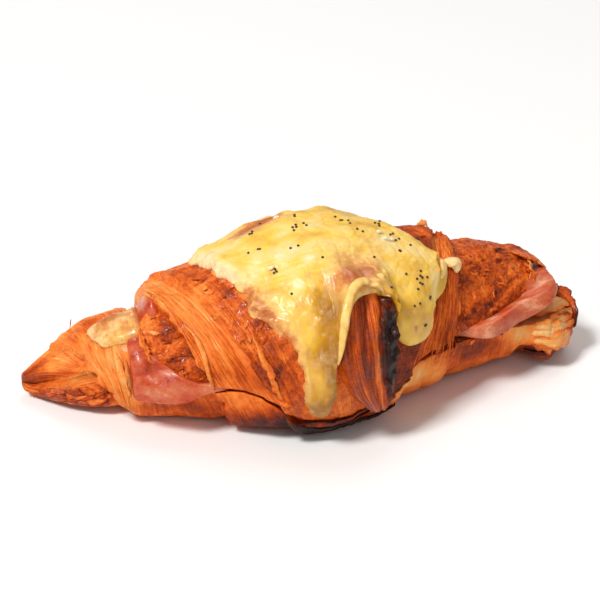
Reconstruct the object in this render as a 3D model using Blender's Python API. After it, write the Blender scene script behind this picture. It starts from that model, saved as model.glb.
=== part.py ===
"""Ham and cheese croissant: a split butter croissant with folded ham and a slice of cheese inside,
and grated cheese with poppy seeds melted over its back.

X runs along the croissant from its burnt left tip to its right tip, +Y is its back and +Z is up.
The origin is on the flat underside, below the middle. Angles round the roll start at the front (-Y),
pass the ridge at 90 degrees and reach the back at 180.
"""

import math

import bmesh
import bpy
import numpy as np
from mathutils.bvhtree import BVHTree

MM = 0.001

# Driving dimensions of the baked roll, before it was split
LENGTH = 190 * MM
WIDTH = 86 * MM
HEIGHT = 58.5 * MM
TIP_SETBACK = 19 * MM  # the tips curve back from the middle
GAP = 0.8 * MM  # clearance kept between neighbours

# Place along the half length, then the shares of WIDTH and HEIGHT there
ROLL_OUTLINE = (
    (-1.00, 0.14, 0.20),
    (-0.90, 0.30, 0.30),
    (-0.70, 0.46, 0.53),
    (-0.40, 0.67, 0.76),
    (0.00, 0.95, 1.00),
    (0.40, 0.68, 0.86),
    (0.60, 0.60, 0.77),
    (0.75, 0.55, 0.70),
    (0.90, 0.44, 0.60),
    (1.00, 0.34, 0.50),
)
BELT_SHARE = 0.40  # height of the widest line, as a share of the local height
UNDERSIDE_SHARE = 1.08  # the round underside would end this share of the belt's height below it
UPPER_SQUARENESS = 2.15
LOWER_SQUARENESS = (2.5, 2.3)  # at the left and in the middle, then at the right
CRUST_SETBACK = 1.6 * MM  # the smooth roll passes through the middle of the layers' relief

# Edges of the rolled layers: x at the front, over the ridge and at the back, then the step's height.
# Layers on the left climb towards +X, and those on the right towards -X.
LEFT_LAYERS = (
    (-70 * MM, -82 * MM, -86 * MM, 3.0 * MM),
    (-38 * MM, -53 * MM, -62 * MM, 3.0 * MM),
    (-21 * MM, -44 * MM, -54 * MM, 2.4 * MM),
)
RIGHT_LAYERS = (
    (46 * MM, 54 * MM, 60 * MM, 2.2 * MM),
    (29 * MM, 46 * MM, 54 * MM, 2.6 * MM),
)
LAYER_EDGE = 3 * MM  # width of the step
LAYER_FADE = 20 * MM
LAYER_GROOVE = (0.3, 4 * MM)  # depth as a share of the step, and width, of the groove at its foot
SWELLS = (0.7 * MM, 11 * MM)  # depth and size of the crust's broad swells
WRINKLES = (0.4 * MM, 5.5 * MM)
CRAG_DEPTH = 1.2 * MM
CRAG_PLACE = (-50 * MM, 9 * MM, 30, 45)  # middle and spread along x, then round the roll
TIP_CREASE_DEPTH = 2.6 * MM
TIP_CREASE_END = -74 * MM
TIP_CREASE_FADE = 8 * MM
TIP_CREASE_ANGLE = (12, 2.2, 13)  # at the tip's end, its rise for each millimetre, and the width

# The tongue: the dough's last corner, which baked proud of the front
TONGUE_LEFT = (-1.5 * MM, 5.5 * MM)  # x of its left side at the top, then at its foot
TONGUE_RIGHT = (19 * MM, 16 * MM)
TONGUE_FOOT = -20  # angle of its foot
TONGUE_TOP = 62  # angle at which it has faded into the crust
TONGUE_HEIGHT = 5.5 * MM

# The split along the front, as (x, height): the upper half's lip, then the lower half's
UPPER_LIP = (
    (-58 * MM, 27 * MM),
    (-42 * MM, 18.5 * MM),
    (-31 * MM, 19.5 * MM),
    (-8 * MM, 10.2 * MM),
    (12 * MM, 10.2 * MM),
    (35 * MM, 21 * MM),
    (63 * MM, 25 * MM),
    (90 * MM, 29 * MM),
)
LOWER_LIP = (
    (-62 * MM, 15 * MM),
    (-42 * MM, 15 * MM),
    (-31 * MM, 18.3 * MM),
    (-8 * MM, 9.0 * MM),
    (12 * MM, 9.0 * MM),
    (35 * MM, 19.6 * MM),
    (63 * MM, 19.5 * MM),
    (95 * MM, 19 * MM),
)
BACK_UPPER_LIP = 20 * MM
BACK_LOWER_LIP = 15 * MM
TRAY_DIP = 1 * MM
POCKET_DEPTH = 6 * MM  # the upper half is hollowed by this much inside its lips
POCKET_WALL = 0.22  # its wall, as a share of the way in to the middle
RIM_FLARE = 2 * MM  # the burnt rim under the tongue spreads by this much
RIM_PLACE = (-7 * MM, 18 * MM, -24, 16)  # middle and spread along x, then round the roll

# Ends of the two halves
BOTTOM_ENDS = (-95 * MM, 98 * MM)
TORN_END = -61 * MM  # left of this the lower half keeps the whole roll
TORN_SLOPE = 3 * MM
TIP_FORWARD = 9 * MM  # the lower half's right tip lies this far forward of the roll's
TIP_STARTS = 66 * MM
TIP_BEND = 22 * MM  # length over which it bends forward
TOP_LEFT_END = -58 * MM
TOP_RIGHT_END = 89 * MM
TOP_RIGHT_UNDERCUT = 9 * MM
TOP_LEFT_SWEEP = 20 * MM  # the left end's lower corner lies this far right of its top
NOTCH = (10 * MM, 95, 9)  # depth, angle and width of the notch in the left end
RIDGE_SETBACK = 4 * MM  # the left end lies this far right over the ridge and behind it
POLE_CAP = 0.05  # share of a piece's length over which its ends are drawn in

# Ham: each slice as (left end, right end)
LEFT_HAM = (-62.5 * MM, 14 * MM)
RIGHT_HAM = (14.6 * MM, 91 * MM)
FILLING_CLEARANCE = 0.9 * MM
HAM_INSET = 9 * MM  # how far inside the front crust the ham stays where it doesn't show
HAM_BACK_INSET = 3 * MM
HAM_RIPPLE = (0.5 * MM, 27 * MM)  # depth and length of the ham edge's waves
LEFT_HAM_OVERHANG = 5.2 * MM
RIGHT_HAM_OVERHANG = 3.4 * MM
HAM_FORWARD = 7 * MM  # the right slice's end lies this far forward
HAM_FORWARD_STARTS = 70 * MM
HAM_BEND = 20 * MM
HAM_TAIL = 12 * MM  # height at which the left slice's hanging edge ends
HAM_STAND = 8 * MM  # it stands up through the notch in the upper half's left end
HAM_STAND_PLACE = (-53 * MM, 7 * MM)  # middle and spread along x
LEFT_SHOWING = -23 * MM  # the ham starts to show left of this
RIGHT_SHOWING = 38 * MM
SHOWING_FADE = 12 * MM

# The slice of cheese on the left ham
SLICE_ENDS = (-74 * MM, -20 * MM)
SLICE_HALF_WIDTH = (9 * MM, 14 * MM)  # out on the shoulder, then inside
SLICE_THICKNESS = 2.2 * MM
SLICE_SHOULDER = -65 * MM  # right of this it dips from the shoulder into the split
SLICE_DIP = 9 * MM  # length of that dip
SHOULDER_DEGREE = 0.33 * MM  # length of one degree round the tip's shoulder
SLICE_LIFT = 0.5 * MM
SLICE_FORWARD = 4.5 * MM  # the melted end lies this far forward of the ridge

# The melted cheese over the back: its outline as (x in millimetres, angle, bow), where bow is how
# far in millimetres the line to that point from the middle bends to the right on its way
MELT_CENTRE = (8, 75)
DEGREE_LENGTH = 0.65 * MM  # length of one degree round the roll, near its middle
MELT_OUTLINE = (
    (-36, 118, 0),
    (-34, 95, 0),
    (-29, 70, 0),
    (-25, 56, 0),
    (-25, 42, 0),
    (-21, 35, 0),
    (-15, 24, 0),
    (-12, 12, -1),
    (-11, -2, -3),
    (-9, -13, -4),
    (-5, -17, -7),
    (-2, -8, -9),
    (-1, 10, -9),
    (2, 24, -9),
    (6, 36, -6),
    (12, 39, 0),
    (18, 36, 8),
    (19, 22, 12),
    (26, 12, 10),
    (33, 15, 5),
    (38, 32, 2),
    (44, 45, 0),
    (48, 60, 0),
    (44, 78, 0),
    (42, 95, 0),
    (41, 109, 0),
    (36, 125, 0),
    (24, 138, 0),
    (12, 148, 0),
    (2, 142, 0),
    (-10, 135, 0),
    (-22, 140, 0),
    (-30, 132, 0),
)
MELT_THICKNESS = 3.2 * MM
MELT_THIN_EDGE = 1.4 * MM
MELT_SWELLS = (0.7 * MM, 8 * MM)  # depth and size
MELT_ROOT = 2 * MM  # the melt is cut back to the crust from this far under it

# Seeds on the melted cheese: clusters as (x, angle, count)
POPPY_SIZE = 1.0 * MM
SESAME_SIZE = (2.4 * MM, 1.5 * MM)
POPPY_CLUSTERS = (
    (-14 * MM, 104, 5),
    (-6 * MM, 78, 4),
    (3 * MM, 104, 6),
    (8 * MM, 78, 5),
    (20 * MM, 96, 7),
    (30 * MM, 76, 8),
    (35 * MM, 44, 9),
    (33 * MM, 28, 4),
    (-14 * MM, 62, 3),
    (10 * MM, 128, 5),
)
CLUSTER_SPREAD = 5 * MM
SESAME_CLUSTERS = ((26 * MM, 78, 4), (-9 * MM, 66, 2))
SEED_RANDOM = 7

# Detail of the solids: voxel sizes of the rebuilt skins, and the faces kept in each
PASTRY_VOXEL = 1 * MM
FILLING_VOXEL = 0.6 * MM
BOTTOM_FACES = 2500
TOP_FACES = 3700
HAM_FACES = 1300
SLICE_FACES = 500
MELT_FACES = 2400

PASTRY_COLOUR = (0.66, 0.25, 0.06, 1)
HAM_COLOUR = (0.72, 0.24, 0.17, 1)
CHEESE_COLOUR = (0.90, 0.64, 0.20, 1)
SLICE_COLOUR = (0.84, 0.58, 0.28, 1)


# ---------------------------------------------------------------- curves and noise


def smooth_line(stations, at):
    """Reads a smooth curve through (place, value) stations at the places given."""
    places = np.array([station[0] for station in stations])
    values = np.array([station[1] for station in stations])
    slopes = np.gradient(values, places)
    at = np.clip(at, places[0], places[-1])
    index = np.clip(np.searchsorted(places, at) - 1, 0, len(places) - 2)
    span = places[index + 1] - places[index]
    t = (at - places[index]) / span
    return (
        values[index] * (1 + 2 * t) * (1 - t) ** 2
        + slopes[index] * span * t * (1 - t) ** 2
        + values[index + 1] * t**2 * (3 - 2 * t)
        - slopes[index + 1] * span * t**2 * (1 - t)
    )


def ease(t):
    """0 below 0, 1 above 1 and a smooth step between."""
    t = np.clip(t, 0, 1)
    return t * t * (3 - 2 * t)


def hill(distance, width):
    return np.exp(-((distance / width) ** 2))


def lumps(points, size, seed=0):
    """Smooth noise from -1 to 1 whose bumps are about size across."""
    scaled = points / size + seed * 17.3
    cell = np.floor(scaled)
    part = ease(scaled - cell)
    total = np.zeros(len(points))
    for corner in np.ndindex(2, 2, 2):
        spot = (cell + corner) @ np.array([127.1, 311.7, 74.7])
        value = np.modf(np.sin(spot) * 43758.5453)[0]
        share = np.prod(np.where(np.array(corner) == 1, part, 1 - part), axis=1)
        total += value * share
    return total


# ---------------------------------------------------------------- the roll's form


def roll_back(x):
    """Y of the roll's middle line."""
    return TIP_SETBACK * np.abs(2 * x / LENGTH) ** 1.6 - 2 * MM


def roll_size(x):
    """Half width, height, and the lower squareness of the roll at x."""
    place = 2 * x / LENGTH
    half = smooth_line([(p, w) for p, w, h in ROLL_OUTLINE], place) * WIDTH / 2
    tall = smooth_line([(p, h) for p, w, h in ROLL_OUTLINE], place) * HEIGHT
    left, right = LOWER_SQUARENESS
    square = left + (right - left) * ease(x / (22 * MM))
    return half, tall, square


def roll_section(x, angle):
    """Points on the smooth roll, at x and at an angle in degrees."""
    half, tall, square = roll_size(x)
    belt = BELT_SHARE * tall
    across, up = np.cos(np.radians(angle)), np.sin(np.radians(angle))
    power = np.where(up >= 0, UPPER_SQUARENESS, square)
    rise = np.where(up >= 0, tall - belt, belt * UNDERSIDE_SHARE)
    reach = (np.abs(across / half) ** power + np.abs(up / rise) ** power) ** (-1 / power)
    return np.stack([x, roll_back(x) - reach * across, belt + reach * up], axis=1)


def roll_normal(x, angle):
    step_x, step_angle = 0.5 * MM, 0.5
    along = roll_section(x + step_x, angle) - roll_section(x - step_x, angle)
    round_it = roll_section(x, angle + step_angle) - roll_section(x, angle - step_angle)
    normal = np.cross(along, round_it)
    return normal / np.linalg.norm(normal, axis=1)[:, None]


def lip_angle(x, height):
    """Angle at which the smooth roll's front is at the height given."""
    half, tall, square = roll_size(x)
    belt = BELT_SHARE * tall
    over = height - belt
    power = np.where(over >= 0, UPPER_SQUARENESS, square)
    rise = np.where(over >= 0, tall - belt, belt * UNDERSIDE_SHARE)
    reach = half * np.clip(1 - np.abs(over / rise) ** power, 0, 1) ** (1 / power)
    return np.degrees(np.arctan2(over, reach))


def layer_edge(layer, angle):
    """X of a rolled layer's edge, a parabola through its front, ridge and back."""
    front, ridge, back, _ = layer
    t = np.clip(angle / 90, -0.5, 2.5)
    bend = (back - 2 * ridge + front) / 2
    return front + (ridge - front - bend) * t + bend * t * t


def layer_relief(x, angle):
    """Height of the rolled layers over the smooth roll: each edge is a step that fades inwards."""
    height = np.zeros_like(x)
    for side, layers in ((1, LEFT_LAYERS), (-1, RIGHT_LAYERS)):
        for layer in layers:
            inside = side * (x - layer_edge(layer, angle))
            step = ease(inside / LAYER_EDGE + 0.5) * np.exp(-np.clip(inside, 0, None) / LAYER_FADE)
            height += layer[3] * (step - LAYER_GROOVE[0] * hill(inside + LAYER_EDGE, LAYER_GROOVE[1]))
    return height


def tongue_relief(x, angle):
    """Height of the tongue: two long ridges with a groove between, steep at its sides and its foot."""
    down = ease((TONGUE_TOP - angle) / (TONGUE_TOP - TONGUE_FOOT))
    left = TONGUE_LEFT[0] + (TONGUE_LEFT[1] - TONGUE_LEFT[0]) * down**2
    right = TONGUE_RIGHT[0] + (TONGUE_RIGHT[1] - TONGUE_RIGHT[0]) * down**2
    across = (2 * x - left - right) / (right - left)
    profile = ease((1.06 - np.abs(across)) / 0.22) * (1 - 0.22 * across**2)
    profile -= 0.16 * hill(across + 0.1, 0.16)
    return TONGUE_HEIGHT * profile * ease((angle - TONGUE_FOOT) / 7) * ease((TONGUE_TOP - angle) / 18)


def crust_relief(x, angle):
    """Layers, tongue, the crease in the left tip, and the crags of the top's torn left end."""
    spot = np.stack([x, np.radians(angle) * WIDTH / 3, np.zeros_like(x)], axis=1)
    crag_x, crag_length, crag_angle, crag_turn = CRAG_PLACE
    crags = hill(x - crag_x, crag_length) * hill(angle - crag_angle, crag_turn)
    crease_start, crease_rise, crease_turn = TIP_CREASE_ANGLE
    crease_angle = crease_start + crease_rise * (x + LENGTH / 2) / MM
    crease = hill(angle - crease_angle, crease_turn) * ease((TIP_CREASE_END - x) / TIP_CREASE_FADE)
    return (
        layer_relief(x, angle)
        + tongue_relief(x, angle)
        - CRUST_SETBACK
        + SWELLS[0] * lumps(spot, SWELLS[1], 1)
        + (WRINKLES[0] + CRAG_DEPTH * crags) * lumps(spot, WRINKLES[1], 2)
        - TIP_CREASE_DEPTH * crease
    )


def on_roll(x, angle, lift):
    """Points lifted off the layered roll along its normal."""
    return roll_section(x, angle) + roll_normal(x, angle) * (crust_relief(x, angle) + lift)[:, None]


# ---------------------------------------------------------------- the split


def lip_heights(stations, back, x, front_side):
    """Height of a lip at x on the side asked for, and halfway between the front and the back."""
    front = smooth_line(stations, x)
    return np.where(front_side, front, back), (front + back) / 2


def split_ring(x, angle, low, high, skin, low_profile=None, high_profile=None):
    """A closed ring of the roll between two lips.

    Between the lips the ring follows skin(x, angle). Past a lip it runs in to the middle, where
    the profile gives its height over the lip from the share of the way in.
    """
    front_side = angle < 90
    fold = np.where(front_side, angle, 180 - angle)
    low_lip, low_middle = low(x, front_side)
    high_lip, high_middle = high(x, front_side)
    low_angle = np.clip(lip_angle(x, low_lip), -89, 89)
    high_angle = np.clip(lip_angle(x, high_lip), low_angle + 1, 89.5)
    held = np.clip(fold, low_angle, high_angle)
    points = skin(x, np.where(front_side, held, 180 - held))
    high_middle = np.minimum(high_middle, roll_size(x)[1])
    under = np.clip((low_angle - fold) / (low_angle + 90), 0, 1)
    over = np.clip((fold - high_angle) / (90 - high_angle), 0, 1) * (high_angle < 89)
    points[:, 0] += (x - points[:, 0]) * (under + over)
    points[:, 1] += (roll_back(x) - points[:, 1]) * (under + over)
    for share, middle, profile in ((under, low_middle, low_profile), (over, high_middle, high_profile)):
        if profile is not None:
            points[:, 2] += (middle - points[:, 2]) * ease(share * 1.5) + profile(x, share) * (share > 0)
    return points


def upper_lip(x, front_side):
    return lip_heights(UPPER_LIP, BACK_UPPER_LIP, x, front_side)


def lower_lip(x, front_side):
    return lip_heights(LOWER_LIP, BACK_LOWER_LIP, x, front_side)


def whole_below(x, front_side):
    return np.full_like(x, -1.0), np.zeros_like(x)


def whole_above(x, front_side):
    return np.full_like(x, 1.0), np.zeros_like(x)


def level(x, share):
    return np.zeros_like(x)


def tray(x, share):
    """The lower half's top dips a little inside its lip."""
    return -TRAY_DIP * ease(share * 8)


def pocket(x, share):
    """Height of the upper half's hollow over its lip."""
    return POCKET_DEPTH * ease((share - POCKET_WALL) / POCKET_WALL)


def drawn_to_poles(t, x_span, ring):
    """Sections from one end to the other, drawn in to a pole over the cap at each end."""
    share = np.clip((t - POLE_CAP) / (1 - 2 * POLE_CAP), 0, 1)
    points = ring(x_span(share))
    ends = np.clip(np.minimum(t, 1 - t) / POLE_CAP, 0, 1)
    draw = np.sin(ends * math.pi / 2)
    for side in (t < 0.5, t >= 0.5):
        middle = points[side & (ends < 1)].mean(axis=0)
        points[side] = middle + (points[side] - middle) * draw[side][:, None]
    return points


# ---------------------------------------------------------------- Blender objects


def material(name, colour, roughness):
    made = bpy.data.materials.new(name)
    made.use_nodes = True
    shader = made.node_tree.nodes["Principled BSDF"]
    shader.inputs["Base Color"].default_value = colour
    shader.inputs["Roughness"].default_value = roughness
    shader.inputs["Metallic"].default_value = 0
    return made


def add_object(name, mesh, finish):
    made = bpy.data.objects.new(name, mesh)
    bpy.context.scene.collection.objects.link(made)
    mesh.materials.clear()
    mesh.materials.append(finish)
    return made


def wrapped_ball(name, around, along, place, finish):
    """A closed solid: a ball's points are moved to where place(t, angle) says.

    t runs from 0 at one pole to 1 at the other, and angle from -90 to 270 round the ball.
    """
    work = bmesh.new()
    bmesh.ops.create_uvsphere(work, u_segments=around, v_segments=along, radius=1)
    bmesh.ops.triangulate(work, faces=work.faces)
    ball = np.array([vertex.co for vertex in work.verts])
    t = np.arccos(np.clip(ball[:, 2], -1, 1)) / math.pi
    angle = np.mod(np.degrees(np.arctan2(ball[:, 1], ball[:, 0])) + 90, 360) - 90
    for vertex, spot in zip(work.verts, place(t, angle)):
        vertex.co = spot
    if work.calc_volume(signed=True) < 0:
        bmesh.ops.reverse_faces(work, faces=work.faces)
    mesh = bpy.data.meshes.new(name)
    work.to_mesh(mesh)
    work.free()
    return add_object(name, mesh, finish)


def apply_modifiers(target):
    graph = bpy.context.evaluated_depsgraph_get()
    mesh = bpy.data.meshes.new_from_object(target.evaluated_get(graph))
    target.modifiers.clear()
    target.data = mesh


def reduce_faces(target, count):
    """Drops faces where the surface is plain, down to about the count given."""
    fewer = target.modifiers.new("fewer_faces", "DECIMATE")
    fewer.use_collapse_triangulate = True
    triangles = sum(len(face.vertices) - 2 for face in target.data.polygons)
    fewer.ratio = min(1, count / triangles)
    apply_modifiers(target)


def rebuild_skin(target, voxel):
    """Rebuilds the surface without folds through itself."""
    rebuilt = target.modifiers.new("rebuilt_skin", "REMESH")
    rebuilt.mode = "VOXEL"
    rebuilt.voxel_size = voxel
    apply_modifiers(target)
    keep_largest_piece(target)


def keep_largest_piece(target):
    """Drops the loose scraps that a cut can leave."""
    work = bmesh.new()
    work.from_mesh(target.data)
    left, pieces = set(work.verts), []
    while left:
        first = left.pop()
        piece, front = [first], [first]
        while front:
            vertex = front.pop()
            near = {edge.other_vert(vertex) for edge in vertex.link_edges} & left
            left -= near
            front.extend(near)
            piece.extend(near)
        pieces.append(piece)
    pieces.sort(key=len)
    scraps = [vertex for piece in pieces[:-1] for vertex in piece]
    bmesh.ops.delete(work, geom=scraps, context="VERTS")
    work.to_mesh(target.data)
    work.free()


def swollen_copy(source, gap):
    """A copy with every point moved outwards by the gap, to cut a neighbour with."""
    mesh = source.data.copy()
    work = bmesh.new()
    work.from_mesh(mesh)
    work.normal_update()
    moves = [vertex.normal * gap for vertex in work.verts]
    for vertex, move in zip(work.verts, moves):
        vertex.co += move
    work.to_mesh(mesh)
    work.free()
    return add_object(source.name + "_cutter", mesh, mesh.materials[0])


def boolean(target, operation, others):
    """Cuts target by the others, or joins them to it, applies it and removes the others."""
    group = bpy.data.collections.new(target.name + "_others")
    for other in others:
        bpy.context.scene.collection.objects.unlink(other)
        group.objects.link(other)
    bpy.context.scene.collection.children.link(group)
    change = target.modifiers.new(operation.lower(), "BOOLEAN")
    change.operation = operation
    change.operand_type = "COLLECTION"
    change.collection = group
    change.solver = "EXACT"
    change.use_self = operation == "DIFFERENCE"
    apply_modifiers(target)
    for other in others:
        bpy.data.objects.remove(other)
    bpy.data.collections.remove(group)


def clear_of(target, neighbours, count):
    """Cuts target back from its neighbours by the gap, then drops faces down to the count given."""
    for neighbour in neighbours:
        boolean(target, "DIFFERENCE", [swollen_copy(neighbour, GAP)])
    keep_largest_piece(target)
    reduce_faces(target, count)


# ---------------------------------------------------------------- the pastry


def bottom_half(finish):
    """The lower half with the whole left tip, the flared burnt rim and the right tip."""

    def high(x, front_side):
        lip, middle = lower_lip(x, front_side)
        kept = HEIGHT * ease((TORN_END - x) / TORN_SLOPE + 0.5)
        return lip + kept, middle + kept

    def skin(x, angle):
        rim_x, rim_length, rim_angle, rim_turn = RIM_PLACE
        along = np.exp(-(((x - rim_x) / rim_length) ** 4))
        return on_roll(x, angle, RIM_FLARE * along * hill(angle - rim_angle, rim_turn))

    def ring(x, angle):
        points = split_ring(x, angle, whole_below, high, skin, None, tray)
        points[:, 1] -= TIP_FORWARD * ease((x - TIP_STARTS) / TIP_BEND)
        points[:, 2] = np.maximum(points[:, 2], 0)
        return points

    def place(t, angle):
        left, right = BOTTOM_ENDS
        return drawn_to_poles(t, lambda share: left + (right - left) * share, lambda x: ring(x, angle))

    half = wrapped_ball("pastry_bottom", 96, 150, place, finish)
    rebuild_skin(half, PASTRY_VOXEL)
    reduce_faces(half, BOTTOM_FACES)
    return half


def top_ends(angle):
    """X of the upper half's two ends, with the notch where the ham stands up."""
    notch = NOTCH[0] * hill(angle - NOTCH[1], NOTCH[2]) + RIDGE_SETBACK * ease((angle - 60) / 30)
    inside = ease((angle + 90) / 45)
    swept_back = TOP_LEFT_SWEEP * np.exp(-np.clip(angle, 0, None) / 13) * inside
    undercut = TOP_RIGHT_UNDERCUT * ease((85 - angle) / 60) * inside
    return TOP_LEFT_END + swept_back + notch, TOP_RIGHT_END - undercut


def top_half(finish):
    """The upper half: an arched shell over the filling, with the tongue on its front."""

    def skin(x, angle):
        return on_roll(x, angle, np.zeros_like(x))

    def place(t, angle):
        left, right = top_ends(angle)

        def ring(x):
            return split_ring(x, angle, upper_lip, whole_above, skin, pocket, None)

        return drawn_to_poles(t, lambda share: left + (right - left) * share, ring)

    half = wrapped_ball("pastry_top", 120, 150, place, finish)
    rebuild_skin(half, PASTRY_VOXEL)
    reduce_faces(half, TOP_FACES)
    return half


# ---------------------------------------------------------------- fillings


def slice_share(x):
    """1 where the cheese slice lies on the ham, 0 right of it."""
    return ease((SLICE_ENDS[1] + 2 * MM - x) / (5 * MM))


def shows_left(x):
    """1 where the left ham hangs out of the split, 0 in the middle."""
    return ease((LEFT_SHOWING - x) / SHOWING_FADE)


def shows_right(x):
    return ease((x - RIGHT_SHOWING) / (2 * SHOWING_FADE))


def ham_low(x, front_side):
    lip, middle = lower_lip(x, front_side)
    inside = lip + FILLING_CLEARANCE
    hanging = shows_left(x) * front_side
    return inside + (HAM_TAIL - inside) * hanging, middle + FILLING_CLEARANCE


def ham_high(x, front_side):
    lip, middle = upper_lip(x, front_side)
    stand = HAM_STAND * hill(x - HAM_STAND_PLACE[0], HAM_STAND_PLACE[1])
    return lip - FILLING_CLEARANCE, middle - FILLING_CLEARANCE + stand


def ham_skin(x, angle):
    """The ham's edge: it shows past the crust at both ends of the split and stays inside between."""
    front = ease((100 - angle) / 20)
    left, right = shows_left(x) * front, shows_right(x) * front
    ripple = HAM_RIPPLE[0] * np.sin(2 * math.pi * x / HAM_RIPPLE[1]) * (left + right)
    inset = HAM_BACK_INSET + (HAM_INSET - HAM_BACK_INSET) * front
    reach = (LEFT_HAM_OVERHANG + inset) * left + (RIGHT_HAM_OVERHANG + inset) * right - inset
    points = roll_section(x, angle)
    points[:, 1] += (points[:, 1] - roll_back(x)) * (reach + ripple) / roll_size(x)[0]
    points[:, 1] -= HAM_FORWARD * ease((x - HAM_FORWARD_STARTS) / HAM_BEND)
    return points


def ham_slice(name, ends, finish):
    """Folded ham that fills the split from end to end."""

    def pocket_ceiling(x, share):
        return pocket(x, share) - slice_share(x) * (SLICE_THICKNESS + FILLING_CLEARANCE) * ease(share * 3)

    def place(t, angle):
        def ring(x):
            return split_ring(x, angle, ham_low, ham_high, ham_skin, level, pocket_ceiling)

        return drawn_to_poles(t, lambda share: ends[0] + (ends[1] - ends[0]) * share, ring)

    ham = wrapped_ball(name, 80, 80, place, finish)
    rebuild_skin(ham, FILLING_VOXEL)
    reduce_faces(ham, 2 * HAM_FACES)
    return ham


def cheese_slice(finish):
    """A slice of cheese on the left ham. Its end has melted out over the tip's shoulder."""

    def place(t, angle):
        reach = np.sin(t * math.pi)
        turn = np.radians(angle)
        left, right = SLICE_ENDS
        x = (left + right) / 2 + np.cos(turn) * reach * (right - left) / 2
        inside = ease((x - SLICE_SHOULDER) / SLICE_DIP)
        half = SLICE_HALF_WIDTH[0] + (SLICE_HALF_WIDTH[1] - SLICE_HALF_WIDTH[0]) * inside
        y = roll_back(x) - SLICE_FORWARD * (1 - inside) + np.sin(turn) * reach * half
        shoulder_angle = 90 - (roll_back(x) - y) / SHOULDER_DEGREE
        shoulder = on_roll(x, shoulder_angle, np.full_like(x, SLICE_LIFT))[:, 2]
        middle = upper_lip(x, True)[1] + POCKET_DEPTH - FILLING_CLEARANCE - SLICE_THICKNESS
        height = shoulder + (middle - shoulder) * inside
        top = SLICE_THICKNESS * np.sqrt(np.clip(1 - reach**8, 0, 1))
        return np.stack([x, y, height + np.where(t < 0.5, top, 0)], axis=1)

    cheese = wrapped_ball("cheese_slice", 60, 30, place, finish)
    rebuild_skin(cheese, FILLING_VOXEL)
    reduce_faces(cheese, 2 * SLICE_FACES)
    return cheese


# ---------------------------------------------------------------- the melted cheese


def melt_edge(turn):
    """(x, angle, bow) of the melt's outline, evenly spaced along it as turn goes from 0 to 360."""
    corners = np.array(MELT_OUTLINE + MELT_OUTLINE[:1], dtype=float)
    steps = np.diff(corners[:, :2], axis=0) * (1, DEGREE_LENGTH / MM)
    along = np.concatenate([[0], np.cumsum(np.hypot(*steps.T))])
    places = along * 360 / along[-1]
    wrapped = np.concatenate([places[-3:-1] - 360, places, places[1:3] + 360])
    corners = np.concatenate([corners[-3:-1], corners, corners[1:3]])
    turn = np.mod(turn, 360)
    return [smooth_line(list(zip(wrapped, corners[:, column])), turn) for column in range(3)]


def melt_lift(share, x, angle):
    """Thickness of the melt: thin and crisp on the left, a fat rolled edge on the right lobe."""
    fat = ease((x + 20 * MM) / (40 * MM))
    body = MELT_THIN_EDGE + (MELT_THICKNESS - MELT_THIN_EDGE) * np.maximum(fat, ease((angle - 40) / 40))
    edge = np.sqrt(np.clip(1 - share**10, 0, 1))
    spot = np.stack([x, np.radians(angle) * WIDTH / 3, np.zeros_like(x)], axis=1)
    return (body + MELT_SWELLS[0] * lumps(spot, MELT_SWELLS[1], 6)) * edge


def melted_cheese(finish):
    def place(t, angle):
        share = np.sin(t * math.pi) ** 0.8
        edge_x, edge_angle, bow = melt_edge(angle)
        centre_x, centre_angle = MELT_CENTRE
        x = (centre_x + (edge_x - centre_x) * share + 2 * bow * share * (1 - share)) * MM
        round_it = centre_angle + (edge_angle - centre_angle) * share
        return on_roll(x, round_it, np.where(t < 0.5, melt_lift(share, x, round_it), -MELT_ROOT))

    melt = wrapped_ball("melted_cheese", 120, 44, place, finish)
    rebuild_skin(melt, FILLING_VOXEL)
    reduce_faces(melt, 2 * MELT_FACES)
    return melt


def seed(name, centre, size, finish):
    work = bmesh.new()
    bmesh.ops.create_icosphere(work, subdivisions=1, radius=0.5)
    bmesh.ops.scale(work, verts=work.verts, vec=(size[0], size[1], size[1]))
    bmesh.ops.translate(work, verts=work.verts, vec=centre)
    mesh = bpy.data.meshes.new(name)
    work.to_mesh(mesh)
    work.free()
    return add_object(name, mesh, finish)


def seeds(melt, finish):
    """Poppy and sesame seeds, drawn round each cluster's middle and half sunk into the melt."""
    rng = np.random.default_rng(SEED_RANDOM)
    kinds = (
        ("poppy", POPPY_CLUSTERS, CLUSTER_SPREAD, (POPPY_SIZE, POPPY_SIZE)),
        ("sesame", SESAME_CLUSTERS, CLUSTER_SPREAD / 2, SESAME_SIZE),
    )
    surface = BVHTree.FromObject(melt, bpy.context.evaluated_depsgraph_get())
    made = []
    for kind, clusters, spread, size in kinds:
        for x, angle, count in clusters:
            for step_x, step_round in rng.normal(0, spread, (count, 2)):
                spot = np.array([x + step_x]), np.array([angle + step_round / DEGREE_LENGTH])
                outside, normal = on_roll(*spot, 20 * MM)[0], roll_normal(*spot)[0]
                hit = surface.ray_cast(outside, -normal)[0]
                if hit is not None:
                    made.append(seed(f"{kind}_{len(made)}", hit, size, finish))
    return made


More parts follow.
